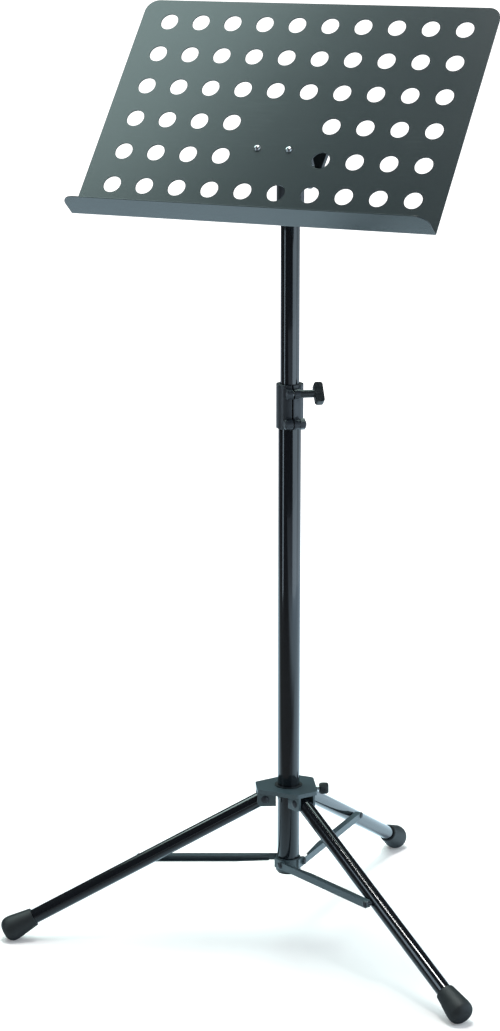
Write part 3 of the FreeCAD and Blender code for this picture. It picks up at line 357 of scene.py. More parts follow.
def show(name, mesh, slot):
    """New object with one finish."""
    obj = placed(name, mesh)
    mesh.materials.clear()
    mesh.materials.append(finishes(slot))
    return obj


def settle(obj):
    """Turns an object's evaluated shape into its plain mesh and removes its modifiers."""
    graph = bpy.context.evaluated_depsgraph_get()
    mesh = bpy.data.meshes.new_from_object(obj.evaluated_get(graph), depsgraph=graph)
    obj.modifiers.clear()
    old = obj.data
    obj.data = mesh
    bpy.data.meshes.remove(old)
    mesh.name = obj.name
    return obj


def shade(mesh):
    """Smooth faces with sharp edges where the surface turns."""
    shape = bmesh.new()
    shape.from_mesh(mesh)
    for face in shape.faces:
        face.smooth = True
    for edge in shape.edges:
        edge.smooth = len(edge.link_faces) == 2 and edge.calc_face_angle(0.0) < SMOOTH_BELOW
    shape.to_mesh(mesh)
    shape.free()


def round_edges(obj, width, segments, above):
    """Rounds the edges at which the surface turns by more than an angle."""
    bevel = obj.modifiers.new("edge", "BEVEL")
    bevel.width = width
    bevel.segments = segments
    bevel.limit_method = "ANGLE"
    bevel.angle_limit = above
    settle(obj)


def even_normals(obj):
    """Keeps large flat faces flat beside their rounded edges."""
    even = obj.modifiers.new("even", "WEIGHTED_NORMAL")
    even.keep_sharp = True
    settle(obj)


def clean_copy(node):
    """Copy of a CAD node's mesh with its doubles merged and its flat faces joined."""
    shape = bmesh.new()
    shape.from_mesh(frame["nodes"][node].data)
    bmesh.ops.remove_doubles(shape, verts=shape.verts, dist=SAME_POINT)
    bmesh.ops.dissolve_limit(shape, angle_limit=FLAT_BELOW, verts=shape.verts, edges=shape.edges)
    mesh = bpy.data.meshes.new(node + "_shape")
    shape.to_mesh(mesh)
    shape.free()
    return mesh


def refined(node, slot, edge, segments=2):
    """Copy of a CAD node, which stands for it; its edges are rounded unless their width is 0."""
    body = frame["nodes"][node]["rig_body"]
    obj = show(node + "_finished", clean_copy(node), slot)
    if edge > 0:
        round_edges(obj, edge, segments, ROUND_ABOVE)
    shade(obj.data)
    even_normals(obj)
    return keep_piece(obj, body, slot, node)


def paint(slot, *nodes):
    """Finish of CAD nodes that stay as they are."""
    for node in nodes:
        obj = frame["nodes"][node]
        material = finishes(slot)
        if not obj.material_slots:
            obj.data.materials.append(material)
        for place in obj.material_slots:
            place.material = material


# Geometry Nodes

def modifier_input(modifier, name, value):
    """Sets a Geometry Nodes modifier's input through its socket identifier."""
    for item in modifier.node_group.interface.items_tree:
        if item.item_type == "SOCKET" and item.in_out == "INPUT" and item.name == name:
            modifier[item.identifier] = value
            return
    raise RuntimeError("no input named " + name)


def run_tree(obj, tree, **values):
    """Puts a node tree on an object, sets its inputs and settles the result."""
    modifier = obj.modifiers.new(tree.name, "NODES")
    modifier.node_group = tree
    for name, value in values.items():
        modifier_input(modifier, name.replace("_", " "), value)
    return settle(obj)


def geometry_tree(name, *inputs):
    """Empty geometry tree with its inputs, and the nodes that it starts and ends with."""
    tree = bpy.data.node_groups.new(name, "GeometryNodeTree")
    new_socket(tree, "Geometry", "Geometry")
    for label, kind, default in inputs:
        new_socket(tree, label, kind, default=default)
    new_socket(tree, "Finish", "Material")
    new_socket(tree, "Geometry", "Geometry", out=True)
    return tree, add(tree, "NodeGroupInput").outputs


def close_tree(tree, given, geometry):
    """Ends a tree in Realize Instances and Set Material."""
    real = feed(tree, add(tree, "GeometryNodeRealizeInstances"), Geometry=geometry)
    coloured = feed(tree, add(tree, "GeometryNodeSetMaterial"), Geometry=real.outputs[0],
                    Material=given["Finish"])
    feed(tree, add(tree, "NodeGroupOutput"), Geometry=coloured.outputs[0])
    return tree


def vector_of(tree, x=0.0, y=0.0, z=0.0):
    node = add(tree, "ShaderNodeCombineXYZ")
    return feed(tree, node, X=x, Y=y, Z=z).outputs[0]


def compared(tree, value, limit):
    """True where the size of a value is below a limit."""
    node = add(tree, "FunctionNodeCompare", data_type="FLOAT", operation="LESS_THAN")
    feed(tree, node, A=sums(tree, "ABSOLUTE", value), B=limit)
    return node.outputs[0]


def both(tree, first, second):
    node = add(tree, "FunctionNodeBooleanMath", operation="AND")
    tree.links.new(first, node.inputs[0])
    tree.links.new(second, node.inputs[1])
    return node.outputs[0]


def position_parts(tree):
    """Node that gives each point's X, Y and Z."""
    place = add(tree, "GeometryNodeInputPosition").outputs[0]
    return feed(tree, add(tree, "ShaderNodeSeparateXYZ"), Vector=place)


def tube_tree():
    """Tube along Z from the origin, with a rounded rim at each end."""
    tree, given = geometry_tree(
        "round tube", ("Outer Diameter", "Float", 0.03), ("Wall", "Float", 0.0015), ("Length", "Float", 0.6),
        ("Rim", "Float", 0.0004), ("Segments", "Int", 96),
    )
    middle = sums(tree, "SUBTRACT", sums(tree, "MULTIPLY", given["Outer Diameter"], 0.5),
                  sums(tree, "MULTIPLY", given["Wall"], 0.5))
    path = feed(tree, add(tree, "GeometryNodeCurvePrimitiveCircle"), Resolution=given["Segments"],
                Radius=middle)
    section = feed(tree, add(tree, "GeometryNodeCurvePrimitiveQuadrilateral"), Width=given["Wall"],
                   Height=given["Length"])
    rounded = add(tree, "GeometryNodeFilletCurve", mode="POLY")
    feed(tree, rounded, Curve=section.outputs[0], Count=2, Radius=given["Rim"])
    swept = feed(tree, add(tree, "GeometryNodeCurveToMesh"), Curve=path.outputs[0],
                 Profile_Curve=rounded.outputs[0])
    raised = feed(tree, add(tree, "GeometryNodeTransform"), Geometry=swept.outputs[0],
                  Translation=vector_of(tree, z=sums(tree, "MULTIPLY", given["Length"], 0.5)))
    return close_tree(tree, given, raised.outputs[0])


def perforation_tree():
    """Cuts a grid of chamfered round holes through an upright sheet and leaves a plain middle."""
    tree, given = geometry_tree(
        "perforations", ("Columns", "Int", 10), ("Rows", "Int", 6), ("Across", "Float", 0.0467),
        ("Up", "Float", 0.0516), ("Hole", "Float", 0.0242), ("Rim", "Float", 0.0003),
        ("Sheet", "Float", 0.0015), ("Centre", "Vector", (0.0, 0.0, 0.0)),
    )
    wide = sums(tree, "MULTIPLY", given["Across"], sums(tree, "SUBTRACT", given["Columns"], 1.0))
    high = sums(tree, "MULTIPLY", given["Up"], sums(tree, "SUBTRACT", given["Rows"], 1.0))
    grid = feed(tree, add(tree, "GeometryNodeMeshGrid"), Size_X=wide, Size_Y=high,
                Vertices_X=given["Columns"], Vertices_Y=given["Rows"])
    at = position_parts(tree)
    plain = both(tree, compared(tree, at.outputs["X"], given["Across"]),
                 compared(tree, sums(tree, "ADD", at.outputs["Y"], given["Up"]), given["Up"]))
    holes = feed(tree, add(tree, "GeometryNodeDeleteGeometry"), Geometry=grid.outputs["Mesh"],
                 Selection=plain)
    radius = sums(tree, "MULTIPLY", given["Hole"], 0.5)
    # The cylinder's four rings stand at -1.5, -0.5, 0.5 and 1.5; each outer one becomes a chamfer's wide end
    drill = feed(tree, add(tree, "GeometryNodeMeshCylinder"), Vertices=48, Side_Segments=3, Radius=radius,
                 Depth=3.0)
    ring = position_parts(tree)
    outer = sums(tree, "GREATER_THAN", sums(tree, "ABSOLUTE", ring.outputs["Z"]), 1.0)
    half = sums(tree, "MULTIPLY", given["Sheet"], 0.5)
    reach = sums(tree, "ADD", half, sums(tree, "MULTIPLY", given["Rim"], sums(
        tree, "SUBTRACT", sums(tree, "MULTIPLY", outer, 2.0), 1.0)))
    level = sums(tree, "MULTIPLY", sums(tree, "SIGN", ring.outputs["Z"]), reach)
    flare = sums(tree, "ADD", 1.0, sums(tree, "MULTIPLY", outer, sums(
        tree, "DIVIDE", sums(tree, "MULTIPLY", given["Rim"], 2.0), radius)))
    formed = vector_of(tree, sums(tree, "MULTIPLY", ring.outputs["X"], flare),
                       sums(tree, "MULTIPLY", ring.outputs["Y"], flare), level)
    shaped = feed(tree, add(tree, "GeometryNodeSetPosition"), Geometry=drill.outputs["Mesh"],
                  Position=formed)
    drills = feed(tree, add(tree, "GeometryNodeInstanceOnPoints"), Points=holes.outputs[0],
                  Instance=shaped.outputs[0])
    upright = feed(tree, add(tree, "GeometryNodeTransform"), Geometry=drills.outputs[0],
                   Translation=given["Centre"], Rotation=(math.radians(90), 0.0, 0.0))
    solid = feed(tree, add(tree, "GeometryNodeRealizeInstances"), Geometry=upright.outputs[0])
    cut = add(tree, "GeometryNodeMeshBoolean", operation="DIFFERENCE", solver="EXACT")
    feed(tree, cut, Mesh_1=given["Geometry"], Mesh_2=solid.outputs[0])
    return close_tree(tree, given, cut.outputs["Mesh"])


def fastener_tree():
    """One shape on each point, its Z turned along the point's own axis."""
    tree, given = geometry_tree("fasteners", ("Shape", "Object", None))
    shape = feed(tree, add(tree, "GeometryNodeObjectInfo"), Object=given["Shape"])
    axis = add(tree, "GeometryNodeInputNamedAttribute", data_type="FLOAT_VECTOR")
    feed(tree, axis, Name="axis")
    turn = add(tree, "FunctionNodeAlignRotationToVector", axis="Z")
    feed(tree, turn, Vector=axis.outputs["Attribute"])
    copies = feed(tree, add(tree, "GeometryNodeInstanceOnPoints"), Points=given["Geometry"],
                  Instance=shape.outputs["Geometry"], Rotation=turn.outputs[0])
    return close_tree(tree, given, copies.outputs[0])


def rib_tree():
    """Grip ribs round a knob, along its Z."""
    tree, given = geometry_tree(
        "grip ribs", ("Count", "Int", 22), ("Radius", "Float", 0.008), ("Depth", "Float", 0.0007),
        ("Start", "Float", 0.002), ("Length", "Float", 0.008),
    )
    circle = feed(tree, add(tree, "GeometryNodeCurvePrimitiveCircle"), Resolution=given["Count"],
                  Radius=given["Radius"])
    points = add(tree, "GeometryNodeCurveToPoints", mode="EVALUATED")
    feed(tree, points, Curve=circle.outputs[0])
    half = sums(tree, "MULTIPLY", given["Length"], 0.5)
    rib = feed(tree, add(tree, "GeometryNodeMeshUVSphere"), Segments=8, Rings=6, Radius=1.0)
    sized = feed(tree, add(tree, "GeometryNodeTransform"), Geometry=rib.outputs["Mesh"],
                 Scale=vector_of(tree, given["Depth"], given["Depth"], half))
    ribs = feed(tree, add(tree, "GeometryNodeInstanceOnPoints"), Points=points.outputs["Points"],
                Instance=sized.outputs[0])
    middle = sums(tree, "ADD", given["Start"], half)
    raised = feed(tree, add(tree, "GeometryNodeTransform"), Geometry=ribs.outputs[0],
                  Translation=vector_of(tree, z=middle))
    joined = add(tree, "GeometryNodeJoinGeometry")
    tree.links.new(raised.outputs[0], joined.inputs[0])
    tree.links.new(given["Geometry"], joined.inputs[0])
    return close_tree(tree, given, joined.outputs[0])


def tree_for(maker, name):
    return bpy.data.node_groups.get(name) or maker()


# Places

def joint_place(name):
    joint = JOINTS[name]
    return Vector(joint["pos_m"]), Vector(joint["axis"])


def along_axis(origin, axis):
    """Matrix whose Z runs along an axis from an origin."""
    return Matrix.Translation(origin) @ Vector(axis).to_track_quat("Z", "Y").to_matrix().to_4x4()


def desk_matrix():
    """Frame on the tilt axis in which the desk stands upright."""
    normal = Vector(MOUNTS["desk_face"]["axis"])
    lean = math.atan2(normal.z, -normal.y)
    return Matrix.Translation(joint_place("tilt")[0]) @ Matrix.Rotation(-lean, 4, "X")


def reach_along(node, origin, axis):
    """Lowest and highest distance of a CAD node's points along an axis, in metres."""
    along = [(vertex.co - origin).dot(axis) for vertex in frame["nodes"][node].data.vertices]
    return min(along), max(along)


def reach_around(node, origin, axis):
    """Largest distance of a CAD node's points from an axis, in metres."""
    return max((vertex.co - origin).cross(axis).length for vertex in frame["nodes"][node].data.vertices)


def turned_mesh(name, corners, steps=32):
    """Closed turned mesh from corners (radius, height), or (radius, height, sides) for a ring with flats."""
    mesh = bpy.data.meshes.new(name)
    shape = bmesh.new()
    rings = []
    for radius, height, *sides in corners:
        if radius == 0:
            rings.append([shape.verts.new((0, 0, height))])
            continue
        ring = []
        for step in range(steps):
            angle = 2 * math.pi * step / steps
            reach = radius
            if sides:
                part = math.pi / sides[0]
                reach = radius * math.cos(part) / math.cos((angle + part) % (2 * part) - part)
            ring.append(shape.verts.new((reach * math.cos(angle), reach * math.sin(angle), height)))
        rings.append(ring)
    for low, high in zip(rings, rings[1:]):
        for step in range(steps):
            following = (step + 1) % steps
            # A ring on the axis is a single point, so a face there has three corners
            around = (low[step % len(low)], low[following % len(low)],
                      high[following % len(high)], high[step % len(high)])
            face = list(dict.fromkeys(around))
            if len(face) > 2:
                shape.faces.new(face)
    bmesh.ops.recalc_face_normals(shape, faces=shape.faces)
    shape.to_mesh(mesh)
    shape.free()
    return mesh


def fasteners(name, body, slot, shape, places, *nodes):
    """Puts one turned shape at each place (origin, axis) and lets the piece stand for its CAD nodes."""
    points = bpy.data.meshes.new(name)
    points.from_pydata([tuple(origin) for origin, _ in places], [], [])
    directions = points.attributes.new("axis", "FLOAT_VECTOR", "POINT")
    for index, (_, axis) in enumerate(places):
        directions.data[index].vector = axis
    obj = show(name, points, slot)
    pattern = placed(name + "_pattern", shape)
    run_tree(obj, tree_for(fastener_tree, "fasteners"), Shape=pattern, Finish=finishes(slot))
    bpy.data.objects.remove(pattern)
    bpy.data.meshes.remove(shape)
    shade(obj.data)
    return keep_piece(obj, body, slot, *nodes)


def dome(radius, base):
    """Profile of a rivet's domed head from its rim, at height base, up to its crown."""
    steps = 5
    angles = [math.pi / 2 * step / steps for step in range(steps)]
    rising = [(radius * math.cos(angle), base + RIVET_CROWN * math.sin(angle)) for angle in angles]
    return rising + [(0, base + RIVET_CROWN)]


def rivet_profile(shank, head, low, high):
    """Rivet whose domed heads sit outside low and high on its axis."""
    lower = [(radius, 2 * low - height) for radius, height in reversed(dome(head, low))]
    return lower + [(shank, low), (shank, high)] + dome(head, high)


# Pieces

class PieceOperator:
    """What the stand's operators share: they can be undone."""
    bl_options = {"REGISTER", "UNDO"}


class STAND_OT_pole(PieceOperator, bpy.types.Operator):
    """Lower and upper tube of the pole, with rounded rims"""
    bl_idname = "stand.pole"
    bl_label = "Pole Tubes"

    def execute(self, context):
        up = Vector((0, 0, 1))
        for node, wall in TUBE_WALLS.items():
            low, high = reach_along(node, Vector(), up)
            outer = 2 * reach_around(node, Vector(), up)
            mesh = bpy.data.meshes.new(node + "_round")
            obj = show(node + "_round", mesh, "gloss_black")
            run_tree(obj, tree_for(tube_tree, "round tube"), Outer_Diameter=outer, Wall=wall,
                     Length=high - low, Finish=finishes("gloss_black"))
            obj.data.transform(Matrix.Translation((0, 0, low)))
            shade(obj.data)
            keep_piece(obj, frame["nodes"][node]["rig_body"], "gloss_black", node)
        return {"FINISHED"}


class STAND_OT_collar(PieceOperator, bpy.types.Operator):
    """Split clamp collar with its pinch bolt and nut, and the bush that guides the upper tube"""
    bl_idname = "stand.collar"
    bl_label = "Clamp Collar"

    def execute(self, context):
        sizes = context.scene.stand_sizes
        refined("clamp_collar", "satin_black", sizes.cast_edge, 3)
        refined("pinch_bolt", "satin_black", sizes.sheet_edge)
        refined("pinch_nut", "satin_black", sizes.sheet_edge)
        refined("guide_bush", "plastic", 0.0)
        return {"FINISHED"}


class STAND_OT_clamp_knob(PieceOperator, bpy.types.Operator):
    """Winged knob and the clamp screw that it turns"""
    bl_idname = "stand.clamp_knob"
    bl_label = "Clamp Knob"

    def execute(self, context):
        refined("clamp_knob", "plastic", context.scene.stand_sizes.moulded_edge, 4)
        refined("clamp_screw", "zinc", 0.0)
        return {"FINISHED"}


class STAND_OT_tilt_knob(PieceOperator, bpy.types.Operator):
    """Winged knob on the tilt bolt"""
    bl_idname = "stand.tilt_knob"
    bl_label = "Tilt Knob"

    def execute(self, context):
        refined("tilt_knob", "plastic", context.scene.stand_sizes.moulded_edge, 4)
        return {"FINISHED"}


class STAND_OT_lock_knob(PieceOperator, bpy.types.Operator):
    """Ribbed knob and the hub's lock screw"""
    bl_idname = "stand.lock_knob"
    bl_label = "Lock Knob"

    def execute(self, context):
        sizes = context.scene.stand_sizes
        origin, axis = joint_place("lock_knob_turn")
        low, high = reach_along("lock_knob", origin, axis)
        radius = reach_around("lock_knob", origin, axis)
        core = radius - sizes.rib_depth
        soft = KNOB_SOFT
        body = turned_mesh("lock_knob_ribbed", [
            (0, low), (core - soft, low), (core, low + soft), (core, high - soft),
            (core - soft * 0.4, high - soft * 0.4), (core - soft, high), (core * 0.55, high),
            (core * 0.5, high - KNOB_DISH), (0, high - KNOB_DISH),
        ], 44)
        obj = show("lock_knob_ribbed", body, "plastic")
        run_tree(obj, tree_for(rib_tree, "grip ribs"), Count=sizes.knob_ribs, Radius=core,
                 Depth=sizes.rib_depth, Start=low + soft, Length=high - low - 2 * soft,
                 Finish=finishes("plastic"))
        obj.data.transform(along_axis(origin, axis))
        shade(obj.data)
        keep_piece(obj, "hub_lock", "plastic", "lock_knob")
        refined("lock_screw", "zinc", 0.0)
        return {"FINISHED"}


class STAND_OT_desk(PieceOperator, bpy.types.Operator):
    """Perforated desk with its ledge, and the bracket behind it"""
    bl_idname = "stand.desk"
    bl_label = "Desk"

    def execute(self, context):
        sizes = context.scene.stand_sizes
        place = desk_matrix()
        away = place.inverted()
        points = [away @ vertex.co for vertex in frame["nodes"]["desk_plate"].data.vertices]
        half = max(point.x for point in points)
        low = min(point.z for point in points)
        top = max(point.z for point in points)
        back = max(point.y for point in points)
        front = min(point.y for point in points)
        mesh = self.blank(half, low, top, back, front)
        obj = show("desk_perforated", mesh, "desk_grey")
        round_edges(obj, sizes.sheet_edge, 2, math.radians(40))
        # The middle of the grid is two and a half rows above the lowest of its six
        middle = low + sizes.hole_low + 2.5 * sizes.hole_up
        run_tree(obj, tree_for(perforation_tree, "perforations"), Across=sizes.hole_across,
                 Up=sizes.hole_up, Hole=sizes.hole, Rim=sizes.hole_rim, Sheet=DESK_SHEET,
                 Finish=finishes("desk_grey"), Centre=(0.0, back - DESK_SHEET / 2, middle))
        obj.data.transform(place)
        shade(obj.data)
        even_normals(obj)
        keep_piece(obj, "desk", "desk_grey", "desk_plate")
        refined("desk_bracket", "desk_grey", sizes.sheet_edge)
        return {"FINISHED"}

    def blank(self, half, low, top, back, front):
        """Sheet with its bent ledge and rounded corners, upright and without holes."""
        steps = 6
        turn = [math.pi / 2 * step / steps for step in range(steps + 1)]
        outer, inner = (
            [(back - DESK_BEND + radius * math.cos(angle), low + DESK_BEND - radius * math.sin(angle))
             for angle in turn]
            for radius in (DESK_BEND, DESK_BEND - DESK_SHEET)
        )
        ledge = [(front, low), (front, low + DESK_SHEET)]
        outline = [(back, top)] + outer + ledge + inner[::-1] + [(back - DESK_SHEET, top)]
        shape = bmesh.new()
        sides = [[shape.verts.new((x, y, z)) for y, z in outline] for x in (-half, half)]
        count = len(outline)
        shape.faces.new(sides[0])
        shape.faces.new(list(reversed(sides[1])))
        for index in range(count):
            following = (index + 1) % count
            shape.faces.new((sides[0][following], sides[0][index], sides[1][index], sides[1][following]))
        bmesh.ops.recalc_face_normals(shape, faces=shape.faces)
        corners = [edge for edge in shape.edges if self.at_corner(edge, top, front)]
        bmesh.ops.bevel(shape, geom=corners, offset=DESK_CORNER, segments=12, profile=0.5, affect="EDGES")
        mesh = bpy.data.meshes.new("desk_blank")
        shape.to_mesh(mesh)
        shape.free()
        return mesh

    def at_corner(self, edge, top, front):
        """True for an edge through the sheet at the top corners or at the ledge's front corners."""
        first, second = (vertex.co for vertex in edge.verts)
        if abs(first.x - second.x) > SAME_LEVEL:
            return False
        at_top = all(abs(point.z - top) < SAME_LEVEL for point in (first, second))
        at_front = all(abs(point.y - front) < SAME_LEVEL for point in (first, second))
        return at_top or at_front


class STAND_OT_desk_screws(PieceOperator, bpy.types.Operator):
    """Desk screws with a socket in their domed heads, and their nuts"""
    bl_idname = "stand.desk_screws"
    bl_label = "Desk Screws"

    def execute(self, context):
        place = desk_matrix()
        normal = Vector(MOUNTS["desk_face"]["axis"])
        level = Vector((1, 0, 0))
        rise = level.cross(normal)
        points = [vertex.co for vertex in frame["nodes"]["desk_screws"].data.vertices]
        middle = sum(points, Vector()) / len(points)
        out = max((point - place.translation).dot(normal) for point in points)
        inner = min((point - place.translation).dot(normal) for point in points)
        across = max(point.x for point in points)
        head, crown = SCREW_HEAD, SCREW_CROWN
        spacing = across - head
        height = (middle - place.translation).dot(rise)
        seat = out - crown
        # The shank, the domed head, and a six-sided socket with a pointed end
        shape = turned_mesh("desk_screw_shape", [
            (0, inner - seat), (SCREW_SHANK, inner - seat), (SCREW_SHANK, 0), (head, 0), (head, 0.0006),
            (head * 0.92, 0.0014), (head * 0.74, 0.0023), (head * 0.52, 0.0028), (0.0017, crown),
            (0.0016, crown - 0.0002, 6), (0.0015, crown - 0.0016, 6), (0, crown - 0.0018),
        ], 36)
        places = [(place.translation + normal * seat + rise * height + level * side * spacing, normal)
                  for side in (-1, 1)]
        fasteners("desk_screws_domed", "desk", "zinc", shape, places, "desk_screws")
        refined("desk_nuts", "zinc", context.scene.stand_sizes.sheet_edge)
        return {"FINISHED"}


class STAND_OT_head(PieceOperator, bpy.types.Operator):
    """Head on the upper tube, its screw, and the tilt bolt with its washers"""
    bl_idname = "stand.head"
    bl_label = "Head"

    def execute(self, context):
        sizes = context.scene.stand_sizes
        refined("desk_head", "satin_black", sizes.cast_edge, 3)
        refined("tilt_bolt", "zinc", sizes.sheet_edge)
        refined("tilt_washers", "plastic", 0.0)
        refined("knob_washer", "zinc", sizes.sheet_edge / 2)
        refined("head_screw", "zinc", sizes.sheet_edge)
        return {"FINISHED"}


class STAND_OT_hub(PieceOperator, bpy.types.Operator):
    """Sliding hub with its liner"""
    bl_idname = "stand.hub"
    bl_label = "Hub"

    def execute(self, context):
        refined("hub", "hub_grey", context.scene.stand_sizes.cast_edge, 3)
        refined("hub_liner", "plastic", 0.0)
        return {"FINISHED"}


class STAND_OT_legs(PieceOperator, bpy.types.Operator):
    """Leg tubes and their rubber feet"""
    bl_idname = "stand.legs"
    bl_label = "Legs and Feet"

    def execute(self, context):
        for side in SIDES:
            refined("leg_" + side, "gloss_black", 0.0)
            refined("foot_" + side, "foot_rubber", FOOT_EDGE, 3)
        return {"FINISHED"}


class STAND_OT_struts(PieceOperator, bpy.types.Operator):
    """Channel struts, the ring that they start from, and the plug in the pole's end"""
    bl_idname = "stand.struts"
    bl_label = "Struts and Ring"

    def execute(self, context):
        edge = context.scene.stand_sizes.sheet_edge
        for side in SIDES:
            refined("strut_" + side, "hub_grey", edge)
        refined("strut_ring", "hub_grey", edge * 2)
        refined("pole_end_plug", "plastic", edge * 2)
        return {"FINISHED"}


class STAND_OT_rivets(PieceOperator, bpy.types.Operator):
    """Domed rivets of the legs, the struts and the ring"""
    bl_idname = "stand.rivets"
    bl_label = "Rivets"

    def execute(self, context):
        legs = [joint_place("leg_swing_" + side) for side in SIDES]
        half = self.near("leg_rivets", *legs[1])[1] - RIVET_CROWN
        shape = turned_mesh("leg_rivet_shape", rivet_profile(LEG_RIVET_SHANK, LEG_RIVET_HEAD, -half, half))
        fasteners("leg_rivets_domed", "hub_carriage", "satin_black", shape, legs, "leg_rivets")
        rings = [joint_place("strut_swing_" + side) for side in SIDES]
        low, high = self.near("ring_rivets", *rings[1])
        shoulder = high - RIVET_CROWN
        shank = [(0, low), (RING_RIVET_SHANK, low), (RING_RIVET_SHANK, shoulder)]
        shape = turned_mesh("ring_rivet_shape", shank + dome(RING_RIVET_HEAD, shoulder))
        fasteners("ring_rivets_domed", "pole", "satin_black", shape, rings, "ring_rivets")
        for side in SIDES:
            node = "strut_pin_" + side
            axis = joint_place("strut_swing_" + side)[1]
            points = [vertex.co for vertex in frame["nodes"][node].data.vertices]
            low, high = reach_along(node, Vector(), axis)
            across = [point - axis * point.dot(axis) for point in points]
            middle = (Vector(map(min, *across)) + Vector(map(max, *across))) / 2
            shoulder = high - RIVET_CROWN
            step = shoulder - PIN_STEP
            shank = [(0, low), (PIN_SPACER, low), (PIN_SPACER, step), (RING_RIVET_SHANK, step),
                     (RING_RIVET_SHANK, shoulder)]
            shape = turned_mesh(node + "_shape", shank + dome(RING_RIVET_HEAD, shoulder))
            fasteners(node + "_domed", "strut_unit_" + side, "satin_black", shape, [(middle, axis)], node)
        return {"FINISHED"}

    def near(self, node, origin, axis):
        """Reach along an axis of those points of a node that lie close to it."""
        close = [(vertex.co - origin).dot(axis) for vertex in frame["nodes"][node].data.vertices
                 if (vertex.co - origin).cross(axis).length < RIVET_REACH]
        return min(close), max(close)


class STAND_OT_inner_parts(PieceOperator, bpy.types.Operator):
    """Finish of the glide inside the pole"""
    bl_idname = "stand.inner_parts"
    bl_label = "Inner Parts"

    def execute(self, context):
        paint("plastic", "tube_glide")
        return {"FINISHED"}


# Stage

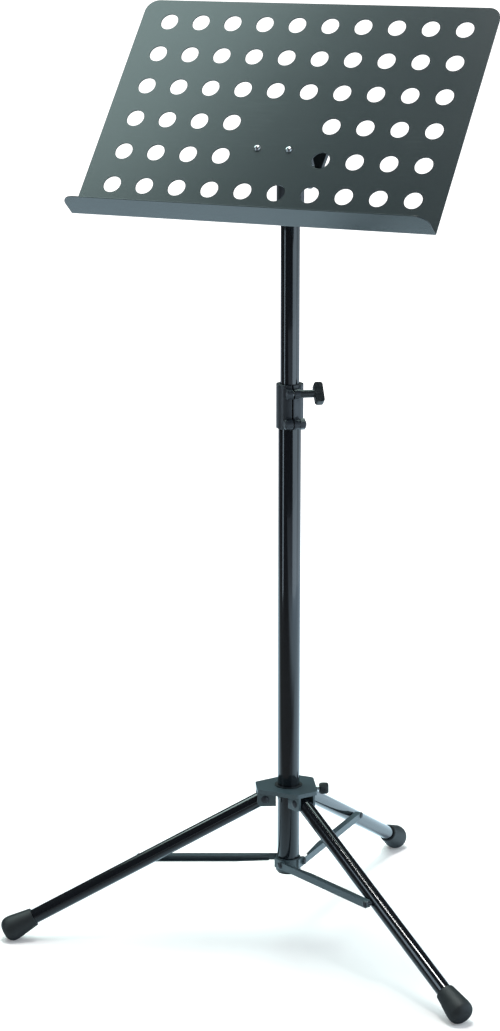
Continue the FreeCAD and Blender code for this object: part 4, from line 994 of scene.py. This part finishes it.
class STAND_OT_stage(PieceOperator, bpy.types.Operator):
    """Pale floor, soft studio light and camera"""
    bl_idname = "stand.stage"
    bl_label = "Stage"

    def execute(self, context):
        settings = context.scene.stand_stage
        self.floor(settings)
        self.surround(settings)
        # Each light: its name, place, target, size, power and colour
        pole = (0.0, 0.0, 0.8)
        panel = (2.3, 2.8)
        for values in (
            ("overhead", (0.0, -0.1, 4.0), (0.0, 0.0, 0.0), (0.7, 0.7), settings.overhead, (1.0, 1.0, 1.0)),
            ("sweep", (-0.85, 0.55, 2.2), (-0.6, 0.3, 1.0), (2.1, 1.5), settings.sweep, (0.76, 1.0, 0.97)),
            ("panel_front", (2.48, -0.35, 0.9), pole, panel, settings.panel, BLUE_LIGHT),
            ("panel_back", (1.86, 1.67, 0.9), pole, panel, settings.panel * 0.5, BLUE_LIGHT),
            ("strip", (-1.67, -1.86, 0.9), pole, (0.45, 2.8), settings.strip, BLUE_LIGHT),
        ):
            self.light(*values)
        self.camera()
        context.scene.view_settings.view_transform = "Standard"
        context.scene.view_settings.look = "None"
        return {"FINISHED"}

    def floor(self, settings):
        """Pale floor that fades to white away from the stand; shiny surfaces see a painted reflection of it,
        painted shade in front and painted bright blue light to the right and behind.
        """
        mesh = bpy.data.meshes.new("floor")
        corners = ((-1, -1), (1, -1), (1, 1), (-1, 1))
        mesh.from_pydata([(x * FLOOR_HALF, y * FLOOR_HALF, FLOOR_LEVEL) for x, y in corners], [],
                         [(0, 1, 2, 3)])
        material = bpy.data.materials.new("pale floor")
        material.use_nodes = True
        tree = material.node_tree
        shader = tree.nodes["Principled BSDF"]
        place = add(tree, "ShaderNodeTexCoord").outputs["Object"]
        away = add(tree, "ShaderNodeVectorMath", operation="LENGTH")
        tree.links.new(place, away.inputs[0])
        far = self.smooth_step(tree, away.outputs["Value"], 0.8, 3.0, settings.glow)
        path = add(tree, "ShaderNodeLightPath")
        # Painted reflection, seen only by shiny surfaces: painted shade in front of the stand, painted
        # bright blue light to the right and behind
        painted_shade = tuple(channel * FLOOR_PAINTED_SHADE for channel in settings.floor)
        across = feed(tree, add(tree, "ShaderNodeSeparateXYZ"), Vector=place)
        side = self.smooth_step(tree, across.outputs["X"], 0.5, 1.3)
        behind = self.smooth_step(tree, across.outputs["Y"], -0.4, 0.1)
        painted_light_mask = sums(tree, "MAXIMUM", side, behind)
        painted_reflection = mixed(tree, painted_light_mask, (*painted_shade, 1.0), (0.75, 0.88, 1.0, 1.0))
        tone = mixed(tree, path.outputs["Is Glossy Ray"], (*settings.floor, 1.0), painted_reflection)
        feed(tree, shader, Base_Color=tone, Roughness=0.9, Specular_IOR_Level=0.0, Emission_Color=WHITE,
             Emission_Strength=sums(tree, "MULTIPLY", far, path.outputs["Is Camera Ray"]))
        mesh.materials.append(material)
        placed("floor", mesh)

    def smooth_step(self, tree, value, start, end, low=0.0):
        """Rises from low to 1 while a value goes from start to end."""
        step = add(tree, "ShaderNodeMapRange", interpolation_type="SMOOTHSTEP")
        feed(tree, step, Value=value, From_Min=start, From_Max=end, To_Min=low, To_Max=1.0)
        return step.outputs[0]

    def surround(self, settings):
        """Even light from all round, seen as plain white behind the stand."""
        world = bpy.data.worlds.new("surround")
        bpy.context.scene.world = world
        world.use_nodes = True
        tree = world.node_tree
        tree.nodes.clear()
        path = add(tree, "ShaderNodeLightPath")
        even = (0.97, 0.98, 1.0, 1.0)
        soft = feed(tree, add(tree, "ShaderNodeBackground"), Color=even, Strength=settings.surround)
        faint = feed(tree, add(tree, "ShaderNodeBackground"), Color=even, Strength=settings.reflected)
        white = feed(tree, add(tree, "ShaderNodeBackground"), Color=WHITE, Strength=1.0)
        blend = soft
        for kind, light in (("Is Glossy Ray", faint), ("Is Camera Ray", white)):
            mixer = add(tree, "ShaderNodeMixShader")
            tree.links.new(path.outputs[kind], mixer.inputs[0])
            tree.links.new(blend.outputs[0], mixer.inputs[1])
            tree.links.new(light.outputs[0], mixer.inputs[2])
            blend = mixer
        out = add(tree, "ShaderNodeOutputWorld")
        tree.links.new(blend.outputs[0], out.inputs["Surface"])

    def light(self, name, position, target, size, energy, tint):
        """Rectangular light that faces a target."""
        data = bpy.data.lights.new(name, "AREA")
        data.shape = "RECTANGLE"
        data.size, data.size_y = size
        data.energy = energy
        data.color = tint
        light = placed(name, data)
        light.location = position
        light.rotation_euler = (Vector(target) - Vector(position)).to_track_quat("-Z", "Y").to_euler()

    def camera(self):
        """Camera in front and to the right, a little above the desk."""
        data = bpy.data.cameras.new("camera")
        data.sensor_width = 36.0
        data.lens = 98.0
        data.clip_end = 60.0
        camera = placed("camera", data)
        camera.location = (1.5272, -3.2877, 1.4316)
        aim = Vector((-0.4230, 0.8773, -0.2270))
        camera.rotation_euler = aim.to_track_quat("-Z", "Y").to_euler()
        bpy.context.scene.camera = camera


# Panel

PIECES = (
    STAND_OT_pole, STAND_OT_collar, STAND_OT_clamp_knob, STAND_OT_desk, STAND_OT_desk_screws, STAND_OT_head,
    STAND_OT_tilt_knob, STAND_OT_hub, STAND_OT_lock_knob, STAND_OT_legs, STAND_OT_struts, STAND_OT_rivets,
    STAND_OT_inner_parts, STAND_OT_stage,
)
SETTINGS = (
    ("stand_colours", StandColours),
    ("stand_sizes", StandSizes),
    ("stand_stage", StandStage),
)


class STAND_PT_pieces(bpy.types.Panel):
    """Lists the stand's settings and pieces"""
    bl_idname = "STAND_PT_pieces"
    bl_label = "Music Stand"
    bl_space_type = "VIEW_3D"
    bl_region_type = "UI"
    bl_category = "Music Stand"

    def draw(self, context):
        for name, group in SETTINGS:
            box = self.layout.box()
            for setting in group.__annotations__:
                box.prop(getattr(context.scene, name), setting)
        for piece in PIECES:
            self.layout.operator(piece.bl_idname)


def register():
    for name, group in SETTINGS:
        bpy.utils.register_class(group)
        setattr(bpy.types.Scene, name, PointerProperty(type=group))
    for piece in PIECES:
        bpy.utils.register_class(piece)
    bpy.utils.register_class(STAND_PT_pieces)


def unregister():
    bpy.utils.unregister_class(STAND_PT_pieces)
    for piece in reversed(PIECES):
        bpy.utils.unregister_class(piece)
    for name, group in reversed(SETTINGS):
        delattr(bpy.types.Scene, name)
        bpy.utils.unregister_class(group)


def main():
    """Builds every piece in order."""
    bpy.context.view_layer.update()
    register()
    for piece in PIECES:
        group, name = piece.bl_idname.split(".")
        if getattr(getattr(bpy.ops, group), name)() != {"FINISHED"}:
            raise RuntimeError(piece.bl_label + " was not made")


if __name__ == "__main__":
    main()
